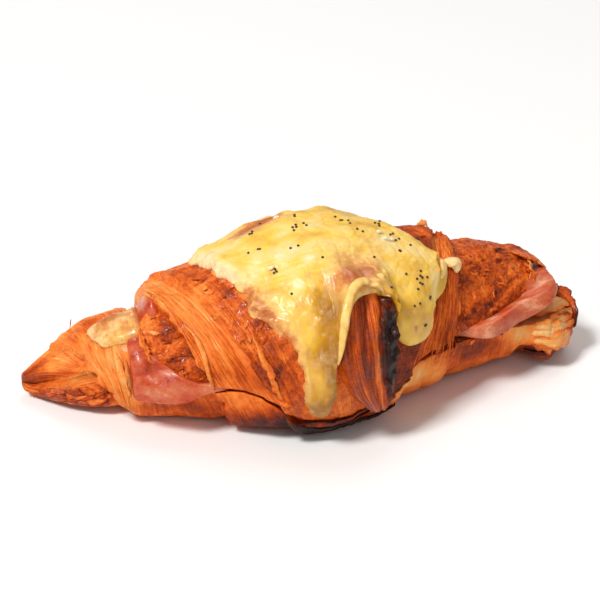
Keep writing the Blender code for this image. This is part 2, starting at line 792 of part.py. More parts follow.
def build():
    for old in list(bpy.data.objects):
        bpy.data.objects.remove(old)
    pastry = material("baked_pastry", PASTRY_COLOUR, 0.45)
    ham = material("cooked_ham", HAM_COLOUR, 0.35)
    cheese = material("melted_cheese", CHEESE_COLOUR, 0.35)
    pale_cheese = material("cheese_slice", SLICE_COLOUR, 0.35)

    bottom = bottom_half(pastry)
    top = top_half(pastry)
    inner = cheese_slice(pale_cheese)
    clear_of(inner, [bottom, top], SLICE_FACES)
    ham_left = ham_slice("ham_left", LEFT_HAM, ham)
    clear_of(ham_left, [bottom, top, inner], HAM_FACES)
    ham_right = ham_slice("ham_right", RIGHT_HAM, ham)
    clear_of(ham_right, [bottom, top], HAM_FACES)
    melt = melted_cheese(cheese)
    clear_of(melt, [top], MELT_FACES)
    boolean(melt, "UNION", seeds(melt, cheese))
    keep_largest_piece(melt)


build()
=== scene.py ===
"""Ham and cheese croissant: the finished looks of a split butter croissant with folded ham and a
slice of cheese inside, and grated cheese with poppy seeds melted over its back.

X runs along the croissant from its burnt left tip to its right tip, +Y is its back and +Z is up.
Angles round the roll start at the front (-Y), pass the ridge at 90 degrees and reach the back at 180.
"""

import math

import bmesh
import bpy
import numpy as np
from bpy.props import FloatProperty, FloatVectorProperty, PointerProperty
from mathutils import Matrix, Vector
from mathutils.bvhtree import BVHTree


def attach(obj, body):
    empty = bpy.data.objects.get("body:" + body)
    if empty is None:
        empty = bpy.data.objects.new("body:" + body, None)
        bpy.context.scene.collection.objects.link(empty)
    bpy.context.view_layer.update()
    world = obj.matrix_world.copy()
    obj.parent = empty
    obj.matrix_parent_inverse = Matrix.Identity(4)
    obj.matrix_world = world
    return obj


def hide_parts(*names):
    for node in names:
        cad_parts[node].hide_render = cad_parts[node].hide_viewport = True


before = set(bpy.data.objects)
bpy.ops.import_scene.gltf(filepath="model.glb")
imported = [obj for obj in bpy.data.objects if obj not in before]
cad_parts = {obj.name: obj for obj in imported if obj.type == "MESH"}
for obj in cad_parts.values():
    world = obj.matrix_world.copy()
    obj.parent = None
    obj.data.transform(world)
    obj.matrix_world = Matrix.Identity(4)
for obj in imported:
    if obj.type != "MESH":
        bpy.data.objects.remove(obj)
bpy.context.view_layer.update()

bl_info = {
    "name": "Ham and cheese croissant",
    "version": (1, 0, 0),
    "blender": (4, 5, 0),
    "location": "View3D > Sidebar > Croissant",
    "description": "Builds a baked ham and cheese croissant with melted cheese and poppy seeds",
    "category": "Add Mesh",
}

MM = 0.001

# ---------------------------------------------------------------- the roll's form in numbers

LENGTH = 190 * MM
WIDTH = 86 * MM
HEIGHT = 58.5 * MM
TIP_SETBACK = 19 * MM
ROLL_OUTLINE = (  # place along the half length, then the shares of WIDTH and HEIGHT there
    (-1.00, 0.14, 0.20),
    (-0.90, 0.30, 0.30),
    (-0.70, 0.46, 0.53),
    (-0.40, 0.67, 0.76),
    (0.00, 0.95, 1.00),
    (0.40, 0.68, 0.86),
    (0.60, 0.60, 0.77),
    (0.75, 0.55, 0.70),
    (0.90, 0.44, 0.60),
    (1.00, 0.34, 0.50),
)
BELT_SHARE = 0.40
UNDERSIDE_SHARE = 1.08
UPPER_SQUARENESS = 2.15
LOWER_SQUARENESS = (2.5, 2.3)
CRUST_SETBACK = 1.6 * MM

# Edges of the rolled layers: x at the front, over the ridge and at the back, then the step's height
LEFT_LAYERS = (
    (-70 * MM, -82 * MM, -86 * MM, 3.0 * MM),
    (-38 * MM, -53 * MM, -62 * MM, 3.0 * MM),
    (-21 * MM, -44 * MM, -54 * MM, 2.4 * MM),
)
RIGHT_LAYERS = (
    (46 * MM, 54 * MM, 60 * MM, 2.2 * MM),
    (29 * MM, 46 * MM, 54 * MM, 2.6 * MM),
)
LAYER_EDGE = 1.5 * MM
LAYER_FADE = 20 * MM
TIP_STEP_LOWER = (0.6, 40, 40)  # how much lower the tip's step is over the ridge, from where, over how many
LAYER_GROOVE = (0.3, 4 * MM)  # depth as a share of the step, and width
EDGE_RAGGED = (1.1 * MM, 5 * MM)  # how far a layer's edge wanders, and over what length
# Bumps: their height and size
SWELLS = (0.7 * MM, 11 * MM)
WRINKLES = (0.4 * MM, 5.5 * MM)
CRAG_DEPTH = 1.2 * MM
CRAG_PLACE = (-50 * MM, 9 * MM, 30, 45)  # x and spread, angle and spread
TIP_CREASE_DEPTH = 3.4 * MM
TIP_CREASE_END = -74 * MM
TIP_CREASE_FADE = 8 * MM
TIP_CREASE_ANGLE = (12, 2.2, 13)  # angle at the left end, its rise for each millimetre, and spread

TONGUE_SIDES = (  # angle, then x of the tongue's left and right sides
    (-21, 11.5 * MM, 13.5 * MM),
    (-14, 8.5 * MM, 15.5 * MM),
    (-6, 3.8 * MM, 16.8 * MM),
    (6, 0.2 * MM, 17.8 * MM),
    (17, -1.4 * MM, 18.6 * MM),
    (28, -0.6 * MM, 19.2 * MM),
    (40, 1.0 * MM, 19.4 * MM),
    (62, 1.0 * MM, 19.4 * MM),
)
TONGUE_FOOT = -20
TONGUE_TOP = 62
TONGUE_FADES = (7, 26)  # degrees over which it rises at its foot, and falls at its top
TONGUE_HEIGHT = 5.5 * MM
TONGUE_SOFTENS = (0.22, 0.6, 34, 14)  # softness of its sides, its gain, where that starts and how long it is
TONGUE_DOME = 0.22  # how much lower its sides are than its middle
# Valleys along it: place across it, spread, depth as a share of its height, and the side they sway to
TONGUE_VALLEYS = ((-0.1, 0.13, 0.2, 1), (-0.55, 0.09, 0.08, -1), (0.38, 0.08, 0.16, 1))
TONGUE_SWAY = (0.12, 9)  # how far the valleys sway, and the angle of one radian of it
TONGUE_CLUMPS = (0.9 * MM, 3.5 * MM, 0.62, 0.34)  # height, size, place across it and spread

UPPER_LIP = (
    (-58 * MM, 27 * MM),
    (-42 * MM, 18.5 * MM),
    (-31 * MM, 19.5 * MM),
    (-8 * MM, 10.2 * MM),
    (12 * MM, 10.2 * MM),
    (35 * MM, 21 * MM),
    (63 * MM, 25 * MM),
    (90 * MM, 29 * MM),
)
LOWER_LIP = (
    (-62 * MM, 15 * MM),
    (-42 * MM, 15 * MM),
    (-31 * MM, 18.3 * MM),
    (-8 * MM, 9.0 * MM),
    (12 * MM, 9.0 * MM),
    (35 * MM, 19.6 * MM),
    (63 * MM, 19.5 * MM),
    (95 * MM, 19 * MM),
)
BACK_UPPER_LIP = 20 * MM
BACK_LOWER_LIP = 15 * MM
LIP_RAGGED = (0.6 * MM, 4 * MM)  # how far a torn lip wanders, and over what length
TRAY_DIP = 1 * MM
POCKET_DEPTH = 6 * MM
POCKET_WALL = 0.22
RIM_FLARE = 2 * MM
RIM_PLACE = (-7 * MM, 18 * MM, -24, 16)  # x and spread, angle and spread

BOTTOM_ENDS = (-95 * MM, 98 * MM)
TORN_END = -61 * MM
TORN_INSIDE = (10, 170, 12, 3 * MM)  # torn dough shows from and to these angles, with a fade there and in x
TORN_SLOPE = 3 * MM
TIP_FORWARD = 9 * MM
TIP_STARTS = 66 * MM
TIP_BEND = 22 * MM
TOP_LEFT_END = -58 * MM
TOP_RIGHT_END = 89 * MM
TOP_RIGHT_UNDERCUT = 9 * MM
TOP_LEFT_SWEEP = (20 * MM, 13)  # how far its left end is swept back at the front, fading over an angle
# Dips of the upper half's left end: depth, angle and spread
NOTCH = (10 * MM, 92, 12)
BACK_SETBACK = (2 * MM, 122, 16)
RIDGE_SETBACK = 4 * MM
POLE_CAP = 0.05  # share of a piece's length at each end that closes it
CAP_RELIEF = 1.6 * MM

LEFT_HAM = (-62.5 * MM, 14 * MM)
RIGHT_HAM = (14.6 * MM, 91 * MM)
FILLING_CLEARANCE = 0.9 * MM
HAM_INSET = 9 * MM
HAM_BACK_INSET = 3 * MM
HAM_RIPPLE = (0.5 * MM, 27 * MM)  # height and length
LEFT_HAM_OVERHANG = 5.2 * MM
RIGHT_HAM_OVERHANG = 3.4 * MM
HAM_FORWARD = 7 * MM
HAM_FORWARD_STARTS = 70 * MM
HAM_BEND = 20 * MM
HAM_TAIL = (  # height of the left ham's lower edge
    (-63 * MM, 12.2 * MM),
    (-52 * MM, 13.0 * MM),
    (-43 * MM, 15.4 * MM),
    (-35 * MM, 18.0 * MM),
    (-25 * MM, 20.0 * MM),
)
HAM_RISE = (  # how far the right ham's lower edge rises
    (40 * MM, 0),
    (62 * MM, 0.2 * MM),
    (76 * MM, 2.2 * MM),
    (91 * MM, 7.5 * MM),
)
HAM_SMOOTHING = 12
HAM_TUCK = (4.2 * MM, 7 * MM, 1.5 * MM)  # how far its top leans in, over what height, and how far up
HAM_CORNER = (5.5 * MM, -56 * MM, 4 * MM)  # its left end's extra height, and where that starts
HAM_CREASE = (22.5 * MM, 1.4 * MM, 1.3 * MM)  # height, width and depth of the crease on the left
HAM_CREASE_SLOPE = (0.15, -55 * MM)  # how steeply it rises, and the x where it has its height
HAM_CREASE_END = (-44 * MM, 8 * MM)
HAM_FOLDS = (0.4 * MM, 8 * MM)  # height and size
HAM_TONE = (0.48, 0.10, 10 * MM)  # its middle, its change from place to place, and over what length
HAM_STAND = 15 * MM  # how far the ham stands up in the notch
HAM_STAND_PLACE = (-52 * MM, 5 * MM)  # x and spread
HAM_STAND_SHARE = (0.4, 0.45)  # it stands from this share of the way in, rising over this much
LEFT_SHOWING = -23 * MM
RIGHT_SHOWING = 38 * MM
SHOWING_FADE = 12 * MM

SLICE_ENDS = (-74 * MM, -20 * MM)
SLICE_HALF_WIDTH = (9 * MM, 14 * MM)  # of its melted end, and on the ham
SLICE_THICKNESS = 2.2 * MM
SLICE_SHOULDER = -60 * MM
SLICE_DIP = 7 * MM
SHOULDER_DEGREE = 0.33 * MM  # length of a degree across the tip's shoulder
SLICE_LIFT = 0.5 * MM
SLICE_FORWARD = 6.5 * MM
SLICE_BACK_SHARE = 0.75  # how far its melted end reaches to the back, as a share of the front
SLICE_OUTLINE = ((0.05, 3, 1), (0.03, 7, 0))  # waves of its outline: height, how many, and where they start
SLICE_CORNERS = 0.62  # 1 for a round slice, and less for a squarer one
SLICE_PUFFS = (0.5 * MM, 5 * MM)  # height and size
SLICE_ROOT = 0.6 * MM
SLICE_FILM = (-62.5 * MM, 2 * MM, 0.3 * MM)  # right of this it is thinner: where, over what width, how much
SLICE_BUBBLE = ((-67, 5, 4, 3.5, 0.45),)  # browned bubble: x and y in millimetres, two spreads, strength
SLICE_TONE = (0.12, 0.35, -6, 4)  # its tone, what a darker line adds, and that line's y and spread in mm
SLICE_TOAST = (0.40, 0.08)  # how toasted it is, and what the thin film adds
SLICE_WET = 0.7

MELT_CENTRE = (8, 75)  # x in millimetres, and angle
DEGREE_LENGTH = 0.65 * MM  # length of a degree round the roll under the melt
MELT_OUTLINE = (  # x in millimetres, angle, bow
    (-36, 118, 0),
    (-34, 95, 0),
    (-29, 70, 0),
    (-25, 56, 0),
    (-25, 42, 0),
    (-21, 35, 0),
    (-15, 24, 0),
    (-12, 12, -1),
    (-11, -2, -3),
    (-9, -13, -4),
    (-5, -17, -7),
    (-2, -8, -7),
    (-1, 10, -4),
    (2, 24, -1),
    (6, 36, 0),
    (12, 39, 0),
    (18, 36, 2),
    (19, 22, 7),
    (26, 12, 8),
    (33, 15, 6),
    (38, 32, 2),
    (44, 45, 0),
    (46, 58, 0),
    (40, 73, 0),
    (34, 88, 0),
    (29, 103, 0),
    (26, 120, 0),
    (19, 136, 0),
    (11, 147, 0),
    (2, 142, 0),
    (-10, 135, 0),
    (-22, 140, 0),
    (-30, 132, 0),
)
MELT_THICKNESS = 3.2 * MM
MELT_THIN_EDGE = 1.4 * MM
MELT_SWELLS = (0.8 * MM, 9 * MM)  # height and size
MELT_STREAKS = (6 * MM, 0.22 * MM)  # distance between them, and height
MELT_BEAD = (0.9, 0.9 * MM)  # share of the way out to the edge, and height
MELT_FRAY = (1.3 * MM, 4 * MM)  # how far its crisp left edge is frayed, and over what length
MELT_CRUMBS = (0.9 * MM, 2.4 * MM)  # height and size of the crumbs on its crisp places
MELT_PORES = (0.08 * MM, 3 * MM)  # height and size
MELT_PIT_DEPTH = 1.1 * MM
MELT_TURNS = (70, 25)  # the angle below which it flows down the front, and over how many degrees
MELT_TONE = 0.4
MELT_TOAST = 0.02
# Curls of cheese: path of (x mm, angle, lift mm), width, thickness, stand, curl, tone, toast
CHEESE_STRIPS = (
    (
        (
            (-1, 10, 1.8), (0, 22, 2.8), (2, 32, 3.2), (4.6, 39.5, 3.4), (8, 42.5, 3.7), (12, 40.5, 3.4),
            (16, 36, 2.0),
        ),
        (3.2, 2.2, 20, 0.3, 0.35, 0.15),
    ),
    (
        ((43.5, 66, 1.8), (43.5, 60, 2.8), (42.8, 54, 2.8), (42, 49, 1.6)),
        (3.2, 2.4, 20, 0.3, 0.22, 0.05),
    ),
    (
        ((44.5, 62, 1.4), (46.6, 60, 2.4), (48.2, 57, 2.4), (48.6, 53, 1.2)),
        (5.2, 3.0, 0, 0.1, 0.12, 0.18),
    ),
    (
        ((-15, 132, 1.4), (-10, 130, 2.6), (-4, 130, 2.4), (1, 131, 1.0)),
        (5.0, 3.0, 0, 0, 0.1, 0.08),
    ),
)
CURL_FRAY = 0.15
CURL_WET = 0.3
MELT_ROOT = 1.2 * MM  # its underside lies this far inside the crust, so that no gap shows

POPPY_SIZE = (0.9 * MM, 0.9 * MM)
SESAME_SIZE = (2.4 * MM, 1.5 * MM)
SEED_FLATNESS = 0.85
SEED_RISE = 0.2  # how far a seed's middle is over the cheese, as a share of its width
# Clusters of seeds: x in millimetres, angle, how many, and their spread in millimetres
POPPY_CLUSTERS = (
    (-1, 106, 2, 1.2),
    (-11, 115, 2, 1.0),
    (-16, 100, 3, 1.1),
    (0, 92, 6, 2.2),
    (-5, 74, 2, 1.0),
    (-15, 81, 2, 1.0),
    (-20, 80, 1, 0.5),
    (-14, 61, 3, 1.2),
    (1, 61, 1, 0.5),
    (-12, 47, 1, 0.5),
    (13, 94, 5, 2.2),
    (15, 79, 2, 1.0),
    (24, 90, 4, 1.6),
    (28, 79, 3, 1.4),
    (28, 66, 4, 3.0),
    (17, 60, 1, 0.5),
    (37, 80, 1, 0.5),
    (26, 50, 1, 0.5),
    (31, 46, 9, 1.5),
    (33, 37, 2, 0.8),
    (27, 33, 2, 1.2),
    (30, 25, 2, 1.4),
    (40, 35, 1, 0.5),
    (17, 41, 1, 0.5),
)
SESAME_CLUSTERS = ((24, 78, 2, 1.4), (27, 71, 3, 1.6), (-15, 65, 1, 0.5), (-7, 108, 1, 0.5))
# How many points each ball has round it and from pole to pole
CRUST_ROWS = (300, 330)
HAM_ROWS = (240, 200)
SLICE_ROWS = (200, 110)
MELT_ROWS = (420, 200)
STRIP_ROWS = (20, 60)
STRAND_ROWS = (6, 16)
SCALE_ROWS = (8, 6)

SEED_RANDOM = 7
FLAKE_RANDOM = 11

# Strands of dough: from and to across the layers in mm, lowest and highest angle, how many
UPPER_STRANDS = (
    (-46, -35, 8, 100, 190),
    (-34, -20, 0, 60, 40),
    (42, 53, -5, 110, 80),
)
LOWER_STRANDS = ((-79, -66, -20, 88, 170),)
STRAND_WIDTH = (0.4 * MM, 1.2 * MM)  # narrowest and widest
STRAND_HEIGHT = 0.34  # as a share of its width
STRAND_TONE = 0.035  # how much the bake differs from strand to strand
STRAND_REACH = (7, 24)  # half its length in degrees round the roll
STRAND_SWAY = (0.5 * MM, 11)  # how far it sways, and the angle of one radian of it
SCALES = 160
SCALE_AREA = ((-54, 80), (0, 88))  # x in millimetres, and angles
SCALE_LENGTH = (1.5, 4.5)  # in millimetres
SCALE_WIDTH = (0.8, 2.2)  # in millimetres
SCALE_ROUGH = (0.3, 1.2)  # a scale is kept where the crust is rougher than a draw between these
SCALE_TONE = 0.1
SCALE_TILT = 0.35
SCALE_CURL = 0.3 * MM
SCALE_THICKNESS = 0.15 * MM
# Strips of dough: path of (x mm, angle, lift mm), width and thickness in mm, how far it stands up in
# degrees, curl in mm, fray, whether it is on the lower half, and how baked its middle and its edges are
DOUGH_STRIPS = (
    (
        ((-44, 47, 0.5), (-41, 36, 0.9), (-39, 22, 1.0), (-38, 9, 0.9), (-37.5, 1, 0.4)),
        (1.7, 1.2, 10, 0, 0.2, False, 0.26, 0.34),
    ),
    (
        ((-25, 32, -0.2), (-22.5, 20, 0.3), (-20.3, 9, 0.4), (-18.4, 0, 0.3), (-17, -7, -0.1)),
        (2.4, 1.0, 16, 0, 0.6, False, 0.36, 0.47),
    ),
    (
        ((-66, 40, 0.4), (-65, 25, 1.2), (-64, 10, 1.2), (-63, -3, 0.2)),
        (2.8, 0.7, 12, 0.2, 0.2, True, 0.2, 0.3),
    ),
    (
        ((-63.5, 32, 0.6), (-62.8, 18, 1.6), (-62.2, 3, 0.8)),
        (1.6, 0.5, 55, 0, 0.25, True, 0.2, 0.24),
    ),
    (
        ((-77.5, 122, 0.0), (-76.5, 118, 1.2), (-75.5, 114, 2.4)),
        (0.5, 0.3, 80, 0, 0.1, True, 0.4, 0.5),
    ),
    (
        ((45, 118, -0.8), (46, 114, 0.8), (47, 110, 1.3), (47.6, 107, 0.2)),
        (2.2, 0.6, 80, 0, 0.6, False, 0.16, 0.3),
    ),
    (
        ((51, 116, -0.6), (52.5, 112, 0.4), (54, 106, 0.1)),
        (2.4, 0.8, 70, 0, 0.7, False, 0.45, 0.6),
    ),
    (
        ((84.5, 74, 0.3), (84.6, 66, 1.2), (84, 57, 1.0), (82.5, 49, 0.2)),
        (2.4, 0.8, 20, 0.3, 0.35, False, 0.06, 0.16),
    ),
    (
        ((-19, -4, 0.2), (-16.5, -6, 0.9), (-14, -7, 0.3)),
        (2.2, 0.6, 35, 0.3, 0.3, False, 0.45, 0.6),
    ),
    (
        ((-58, 56, 0.2), (-57.5, 42, 0.9), (-56.5, 30, 0.9), (-55, 20, 0.2)),
        (2.6, 1.0, -10, 0.2, 0.5, False, 0.42, 0.35),
    ),
    (
        ((-27, -26, 0.2), (-14, -29, 1.0), (2, -31, 1.2), (16, -30, 0.9), (24, -26, 0.2)),
        (2.6, 1.2, -20, 0.2, 0.4, True, 0.9, 0.97),
    ),
    (
        ((79, -34, 0.6), (84, -30, 1.4), (90, -26, 1.6), (96, -20, 0.6)),
        (5.0, 2.6, 25, 0.2, 0.3, True, 0.74, 0.9),
    ),
    (
        ((78, 86, 0.0), (83, 81, 0.5), (88, 76, 0.9), (93, 70, 0.7)),
        (7.0, 1.6, 12, 0.3, 0.35, False, 0.46, 0.4),
    ),
    (
        ((82, 68, 0.2), (84, 60, 0.9), (84.5, 50, 0.9), (83, 42, 0.2)),
        (5.0, 1.6, 15, 0.4, 0.4, False, 0.36, 0.5),
    ),
    (
        ((-24, -16, 0.0), (-14, -20, 0.9), (0, -21, 1.0), (12, -20, 0.2)),
        (2.2, 1.0, 25, 0.2, 0.5, True, 0.74, 0.9),
    ),
)

# Folds that fan out at the right end, and flaps that stand free there on paths of (x, y, z) mm
FAN_FOLDS = (
    (
        ((79, 9, -1.2), (86, 11, 0.4), (92, 14, 1.0), (97.5, 18, 0.6)),
        (5.4, 2.2, 14, 0.4, 0.25, True, 0.14, 0.36),
    ),
    (
        ((77, 3, -1.4), (85, 4, 0.3), (92, 6, 1.2), (98.5, 9, 0.8)),
        (6.2, 2.6, 20, 0.4, 0.25, True, 0.08, 0.34),
    ),
    (
        ((78, -4, -1.4), (85, -6, 0.4), (91, -6, 1.1), (97.5, -4, 0.8)),
        (7.0, 2.6, 16, 0.4, 0.3, True, 0.16, 0.4),
    ),
    (
        ((80, -12, -1.2), (86, -17, 0.4), (90, -19, 1.0), (95, -18, 0.6)),
        (6.4, 2.4, 18, 0.4, 0.35, True, 0.34, 0.62),
    ),
)
END_FLAPS = (
    (
        ((91, 14, 18.5), (95.5, 10, 19.5), (98, 4, 19), (98.8, -2, 16.5), (98, -6, 12)),
        (5.2, 2.0, -35, 0.5, 0.35, True, 0.52, 0.68),
    ),
    (
        ((88, 2, 19.5), (91.5, 5, 21.5), (94, 9, 22.5), (95, 13, 21)),
        (5.5, 1.6, -20, 0.4, 0.4, True, 0.52, 0.74),
    ),
    (
        ((82, -5, 18), (88, -4, 20), (93, -2, 20.5), (97.5, 1, 18.5)),
        (6.5, 2.4, -15, 0.4, 0.25, True, 0.1, 0.34),
    ),
)
FOLD_BURNT_END = 0.34

BLISTERED = (-24 * MM, 5 * MM, 50, 42, 0.22 * MM)  # x, spread, angle, spread, and its slant for a degree
BLISTERS = (1.7 * MM, 1.5 * MM)  # their size and height
TIP_WRINKLES = (2.6 * MM, 0.75 * MM)  # size and height
END_BULGE = 1.2 * MM  # how far the ends of the halves are rounded
TIP_GRAIN = (-78 * MM, 8 * MM)  # left of this the tip is wrinkled, over this width
TIP_FAN = (-79 * MM, 26, 12 * MM)  # where its folds meet, and the width they have at one radian
TIP_ROUND = (-96 * MM, 11 * MM, 0.55, 5 * MM)  # rounded end: x, length, share of its size left, height
LUMP_NOTCH = (2.4 * MM, 2.6 * MM, 1.2 * MM)  # depth, width, and distance from the layer's edge
TIP_SHOULDER = ((-74, 105, 6, 35, 1.6), (-60.5, 95, 4, 40, -2.2))  # x mm, angle, two spreads, rise in mm
BASE_NOTCH = (78 * MM, 3.5 * MM, 3.2 * MM)  # x, spread and depth
BASE_CREASES = (32 * MM, 15 * MM, 5 * MM, 1.1 * MM)  # middle, spread, distance between them and depth
LUMP_FADE = (3 * MM, 10)  # along x, and in degrees
LUMP_WANDER = (1.5 * MM, 5 * MM)  # how far its cracks wander, and over what length
TIP_LUMP = (-91 * MM, -71 * MM, 14, 4.2 * MM)  # its ends along x, its highest angle, size of its plates
END_FOLDS = (75 * MM, 9 * MM, 84 * MM, 9)  # where they start, height there, where they show, how many
END_FOLD_DEPTH = 1.3 * MM
END_FOLD_SWAY = (0.25, 5 * MM)  # how far they sway as a turn of their fan, and over what length
# Fine grain along the layers: height, distance between its ridges, their stretch, seed
FINE_GRAIN = ((0.22 * MM, 1.7 * MM, 0.10, 3), (0.35 * MM, 4 * MM, 0.12, 4))
FLAKES = (0.5 * MM, 3.6 * MM)  # height and size
FLAKE_CRACKS = (0.35 * MM, 6 * MM)  # depth, and size of the plates between them
LUMP_CRACKS = 0.45 * MM  # depth
TONGUE_GROOVES = (1.6 * MM, 0.45 * MM)  # distance between them, and depth
TONGUE_WIDE = 17 * MM  # its width where the grain is laid out on it

# ---------------------------------------------------------------- looks of the crust

# Lines that the layers' grain follows, as x in millimetres at the front, over the ridge and at the back
GRAIN_LINES = (
    (-97, -99, -100),
    (-70, -82, -86),
    (-62, -64, -66),
    (-38, -53, -62),
    (-21, -44, -54),
    (-6, -22, -32),
    (9, 9, 9),
    (29, 46, 54),
    (46, 54, 60),
    (70, 76, 80),
    (92, 92, 92),
    (101, 101, 101),
)

# Each region of the crust: how far it is baked (0 raw, 0.5 golden, 1 burnt), how much it shows the
# layers' grain, how rough its flakes are, and how much egg wash shines on it
REGION_LOOK = {
    "tip": (0.32, 0.9, 0.2, 0.5),
    "second": (0.28, 0.9, 0.0, 0.35),
    "rough": (0.56, 0.0, 0.9, 0.4),
    "fine": (0.35, 0.9, 0.0, 0.35),
    "skin": (0.40, 0.5, 0.5, 0.4),
    "lobe": (0.70, 0.1, 0.5, 0.2),
    "strip": (0.47, 1.0, 0.1, 0.3),
    "right": (0.54, 0.15, 0.8, 0.5),
    "base": (0.36, 0.5, 0.2, 0.2),
    "tongue": (0.64, 0.9, 0.2, 0.7),
}

# Gradual changes of the bake: the change, the angle where it starts, and over how many degrees upwards
FINE_PALER = (-0.10, 15, 60)
BASE_DARKER = (0.08, -8, -14)
# The tongue's burnt patch: strength, place and spread across the tongue, and angle and spread round it
TONGUE_BURNT = (1.15, 0.62, 0.36, 13, 17)
TONGUE_RIDGES = ((0.14, 0.14, 1.0), (-0.5, 0.1, 0.5))  # paler ridges: place across it, spread, strength
TONGUE_BAKE = (0.40, -0.26)  # what the burnt patch and the ridges change
LUMP_BAKE = (0.12, 0.32, 0.13)  # what the tip's lump, its cracks and the tones of its plates change
END_BAKE = (0.22, -0.16, 0.5)  # bake of the right end, and what its folds and its rim change
TORN_BAKE = 0.14  # bake of the torn dough inside the split
CAP_BAKE = (0.30, 0.16, 7 * MM)  # bake of the torn right end, its change, and over what length

BAKE_MOTTLE = (0.035, 9 * MM)  # change from place to place, and over what length
BLISTER_MOTTLE = (0.2, 3 * MM)
REGION_FADE = 1.2 * MM
BASE_FADE = 4 * MM
LOBE_START = (12 * MM, 16 * MM)  # where the skin turns into the lobe, and over what length
END_RIM = (94 * MM, 4 * MM, 5 * MM, 3 * MM)  # the right end's rim: x, its fade, height, its fade

# Places baked darker (above 0) or left paler, and one painted shade below the right ham:
# x in millimetres, angle, spread along x, spread round, change
UPPER_SPOTS = (
    (-48, 58, 9, 14, 0.06),
    (-46, 20, 8, 16, 0.05),
    (-50, 33, 4, 8, -0.14),
    (-36, 62, 8, 12, -0.08),
    (-28, 10, 9, 12, 0.10),
    (-36, 84, 6, 12, 0.06),
    (-28, 60, 5, 16, 0.15),
    (-22, 38, 4.5, 12, 0.16),
    (-17, 8, 8, 16, 0.26),
    (-50, 46, 5, 8, 0.10),
    (-56, 62, 3.5, 18, -0.30),
    (-33, 95, 8, 20, 0.08),
    (-13, 2, 8, 9, -0.02),
    (-17, 14, 4, 9, -0.10),
    (30, 5, 8, 12, 0.06),
    (46, 92, 6, 24, -0.14),
    (40, 102, 6, 14, -0.16),
    (62, 60, 8, 14, 0.06),
    (66, 20, 9, 12, 0.04),
    (58, 70, 5, 9, -0.10),
    (80, 55, 7, 14, -0.10),
    (86, 62, 3, 8, -0.12),
    (70, 95, 14, 20, -0.04),
)
LOWER_SPOTS = (
    (-97, 60, 7, 60, 0.31),
    (-90, 40, 6, 16, 0.10),
    (-85, 60, 5, 26, -0.10),
    (-81, 28, 5, 10, -0.02),
    (-82, -2, 10, 16, 0.10),
    (-72, 92, 12, 22, 0.16),
    (-66, 15, 5, 22, -0.06),
    (-7, -24, 20, 14, 0.55),
    (-30, -25, 14, 14, 0.10),
    (26, -14, 9, 14, -0.27),
    # Painted shade: darkens the lower half's front just below the right ham
    (54, -7, 16, 12, 0.38),
    (38, -14, 12, 14, -0.18),
    (74, -2, 7, 12, -0.26),
    (-48, -14, 12, 8, 0.16),
    (-64, -30, 5, 12, -0.10),
    (84, -30, 9, 20, 0.30),
    (74, 10, 6, 18, -0.10),
)


# Places of the ham darker (below 0) or paler: x and height in millimetres, two spreads and the change.
# On the left ham the darker places are painted shade in its crease, its upper fold and along its lower edge.
HAM_SPOTS = (
    (-56, 24, 5, 3, -0.30),
    (-52, 21, 4, 1.4, -0.32),
    (-60, 28, 4, 3, -0.10),
    (-55, 17, 5, 3, 0.14),
    (-46, 14, 8, 3, -0.10),
    (-32, 18, 7, 4, -0.18),
    (-51, 34, 5, 5, 0.06),
    (52, 22, 9, 4, -0.10),
    (62, 26, 5, 2, 0.14),
    (76, 24, 7, 3, 0.10),
    (86, 27, 5, 4, 0.08),
    (80, 31, 8, 2, -0.10),
)

# Soft spots of the melt: x in millimetres, angle, spread along x, spread round, strength.
# Below 0 a spot is paler: partly pale cheese and partly a painted highlight.
CHEESE_TONES = (
    (-4, 50, 5, 12, 0.10),
    (-2, 34, 4, 12, 0.58),
    (-3, 12, 5, 12, 0.78),
    (-5, -10, 6, 9, 0.90),
    (18, 40, 4, 12, 0.14),
    (21, 24, 5, 10, 0.18),
    (30, 40, 8, 12, 0.08),
    (-7, 74, 4, 6, -0.25),
    (-4, 62, 2, 3, -0.40),
    (-12, 70, 2, 3, -0.30),
    (-9, 50, 2, 3, -0.35),
    (-16, 50, 6, 10, 0.10),
    (-9, 88, 4, 4, -0.25),
    (6, 68, 7, 6, -0.22),
    (24, 72, 6, 6, -0.20),
    (36, 52, 4, 10, -0.22),
    (-18, 70, 8, 10, -0.10),
    (-28, 96, 7, 14, -0.16),
    (-2, 100, 12, 9, -0.04),
    (-14, 84, 8, 6, 0.14),
    (14, 88, 12, 6, 0.12),
)
CHEESE_TOASTED = (
    (5, 46, 5, 8, 0.80),
    (12, 50, 5, 7, 0.65),
    (9, 60, 6, 5, 0.30),
    (18, 62, 2.5, 12, 0.25),
    (2, 74, 3, 3, 0.15),
    (-23, 50, 4.2, 8, 0.58),
    (-19, 38, 3.4, 8, 0.58),
    (-15, 22, 3, 9, 0.62),
    (-12, 6, 2.6, 10, 0.56),
    (-8, -14, 5, 3, 0.12),
    (-7, 121, 4.5, 9, 0.95),
    (-12, 116, 5, 10, 1.0),
    (-18, 110, 4, 8, 0.80),
    (-4, 8, 4, 9, 0.12),
    (46, 58, 4, 9, 0.25),
    (30, 16, 3, 5, 0.15),
    (26, 22, 1, 2, 0.70),
)
CHEESE_CRISP = (
    (-24, 50, 2.6, 5, 1.6),
    (-22, 43, 2.4, 5, 1.4),
    (-14, 14, 1.4, 6, 0.5),
    (-4, -12, 5, 5, 0.6),
    (-7, 2, 2, 5, 0.3),
    (-30, 88, 3, 9, 0.4),
)
CHEESE_PITS = (
    (-2.5, -5, 0.9, 1.5, 1.0),
    (-6, 16, 0.6, 1.2, 0.6),
    (3, -9, 0.8, 1.4, 0.7),
    (25, 30, 0.6, 1, 0.4),
)
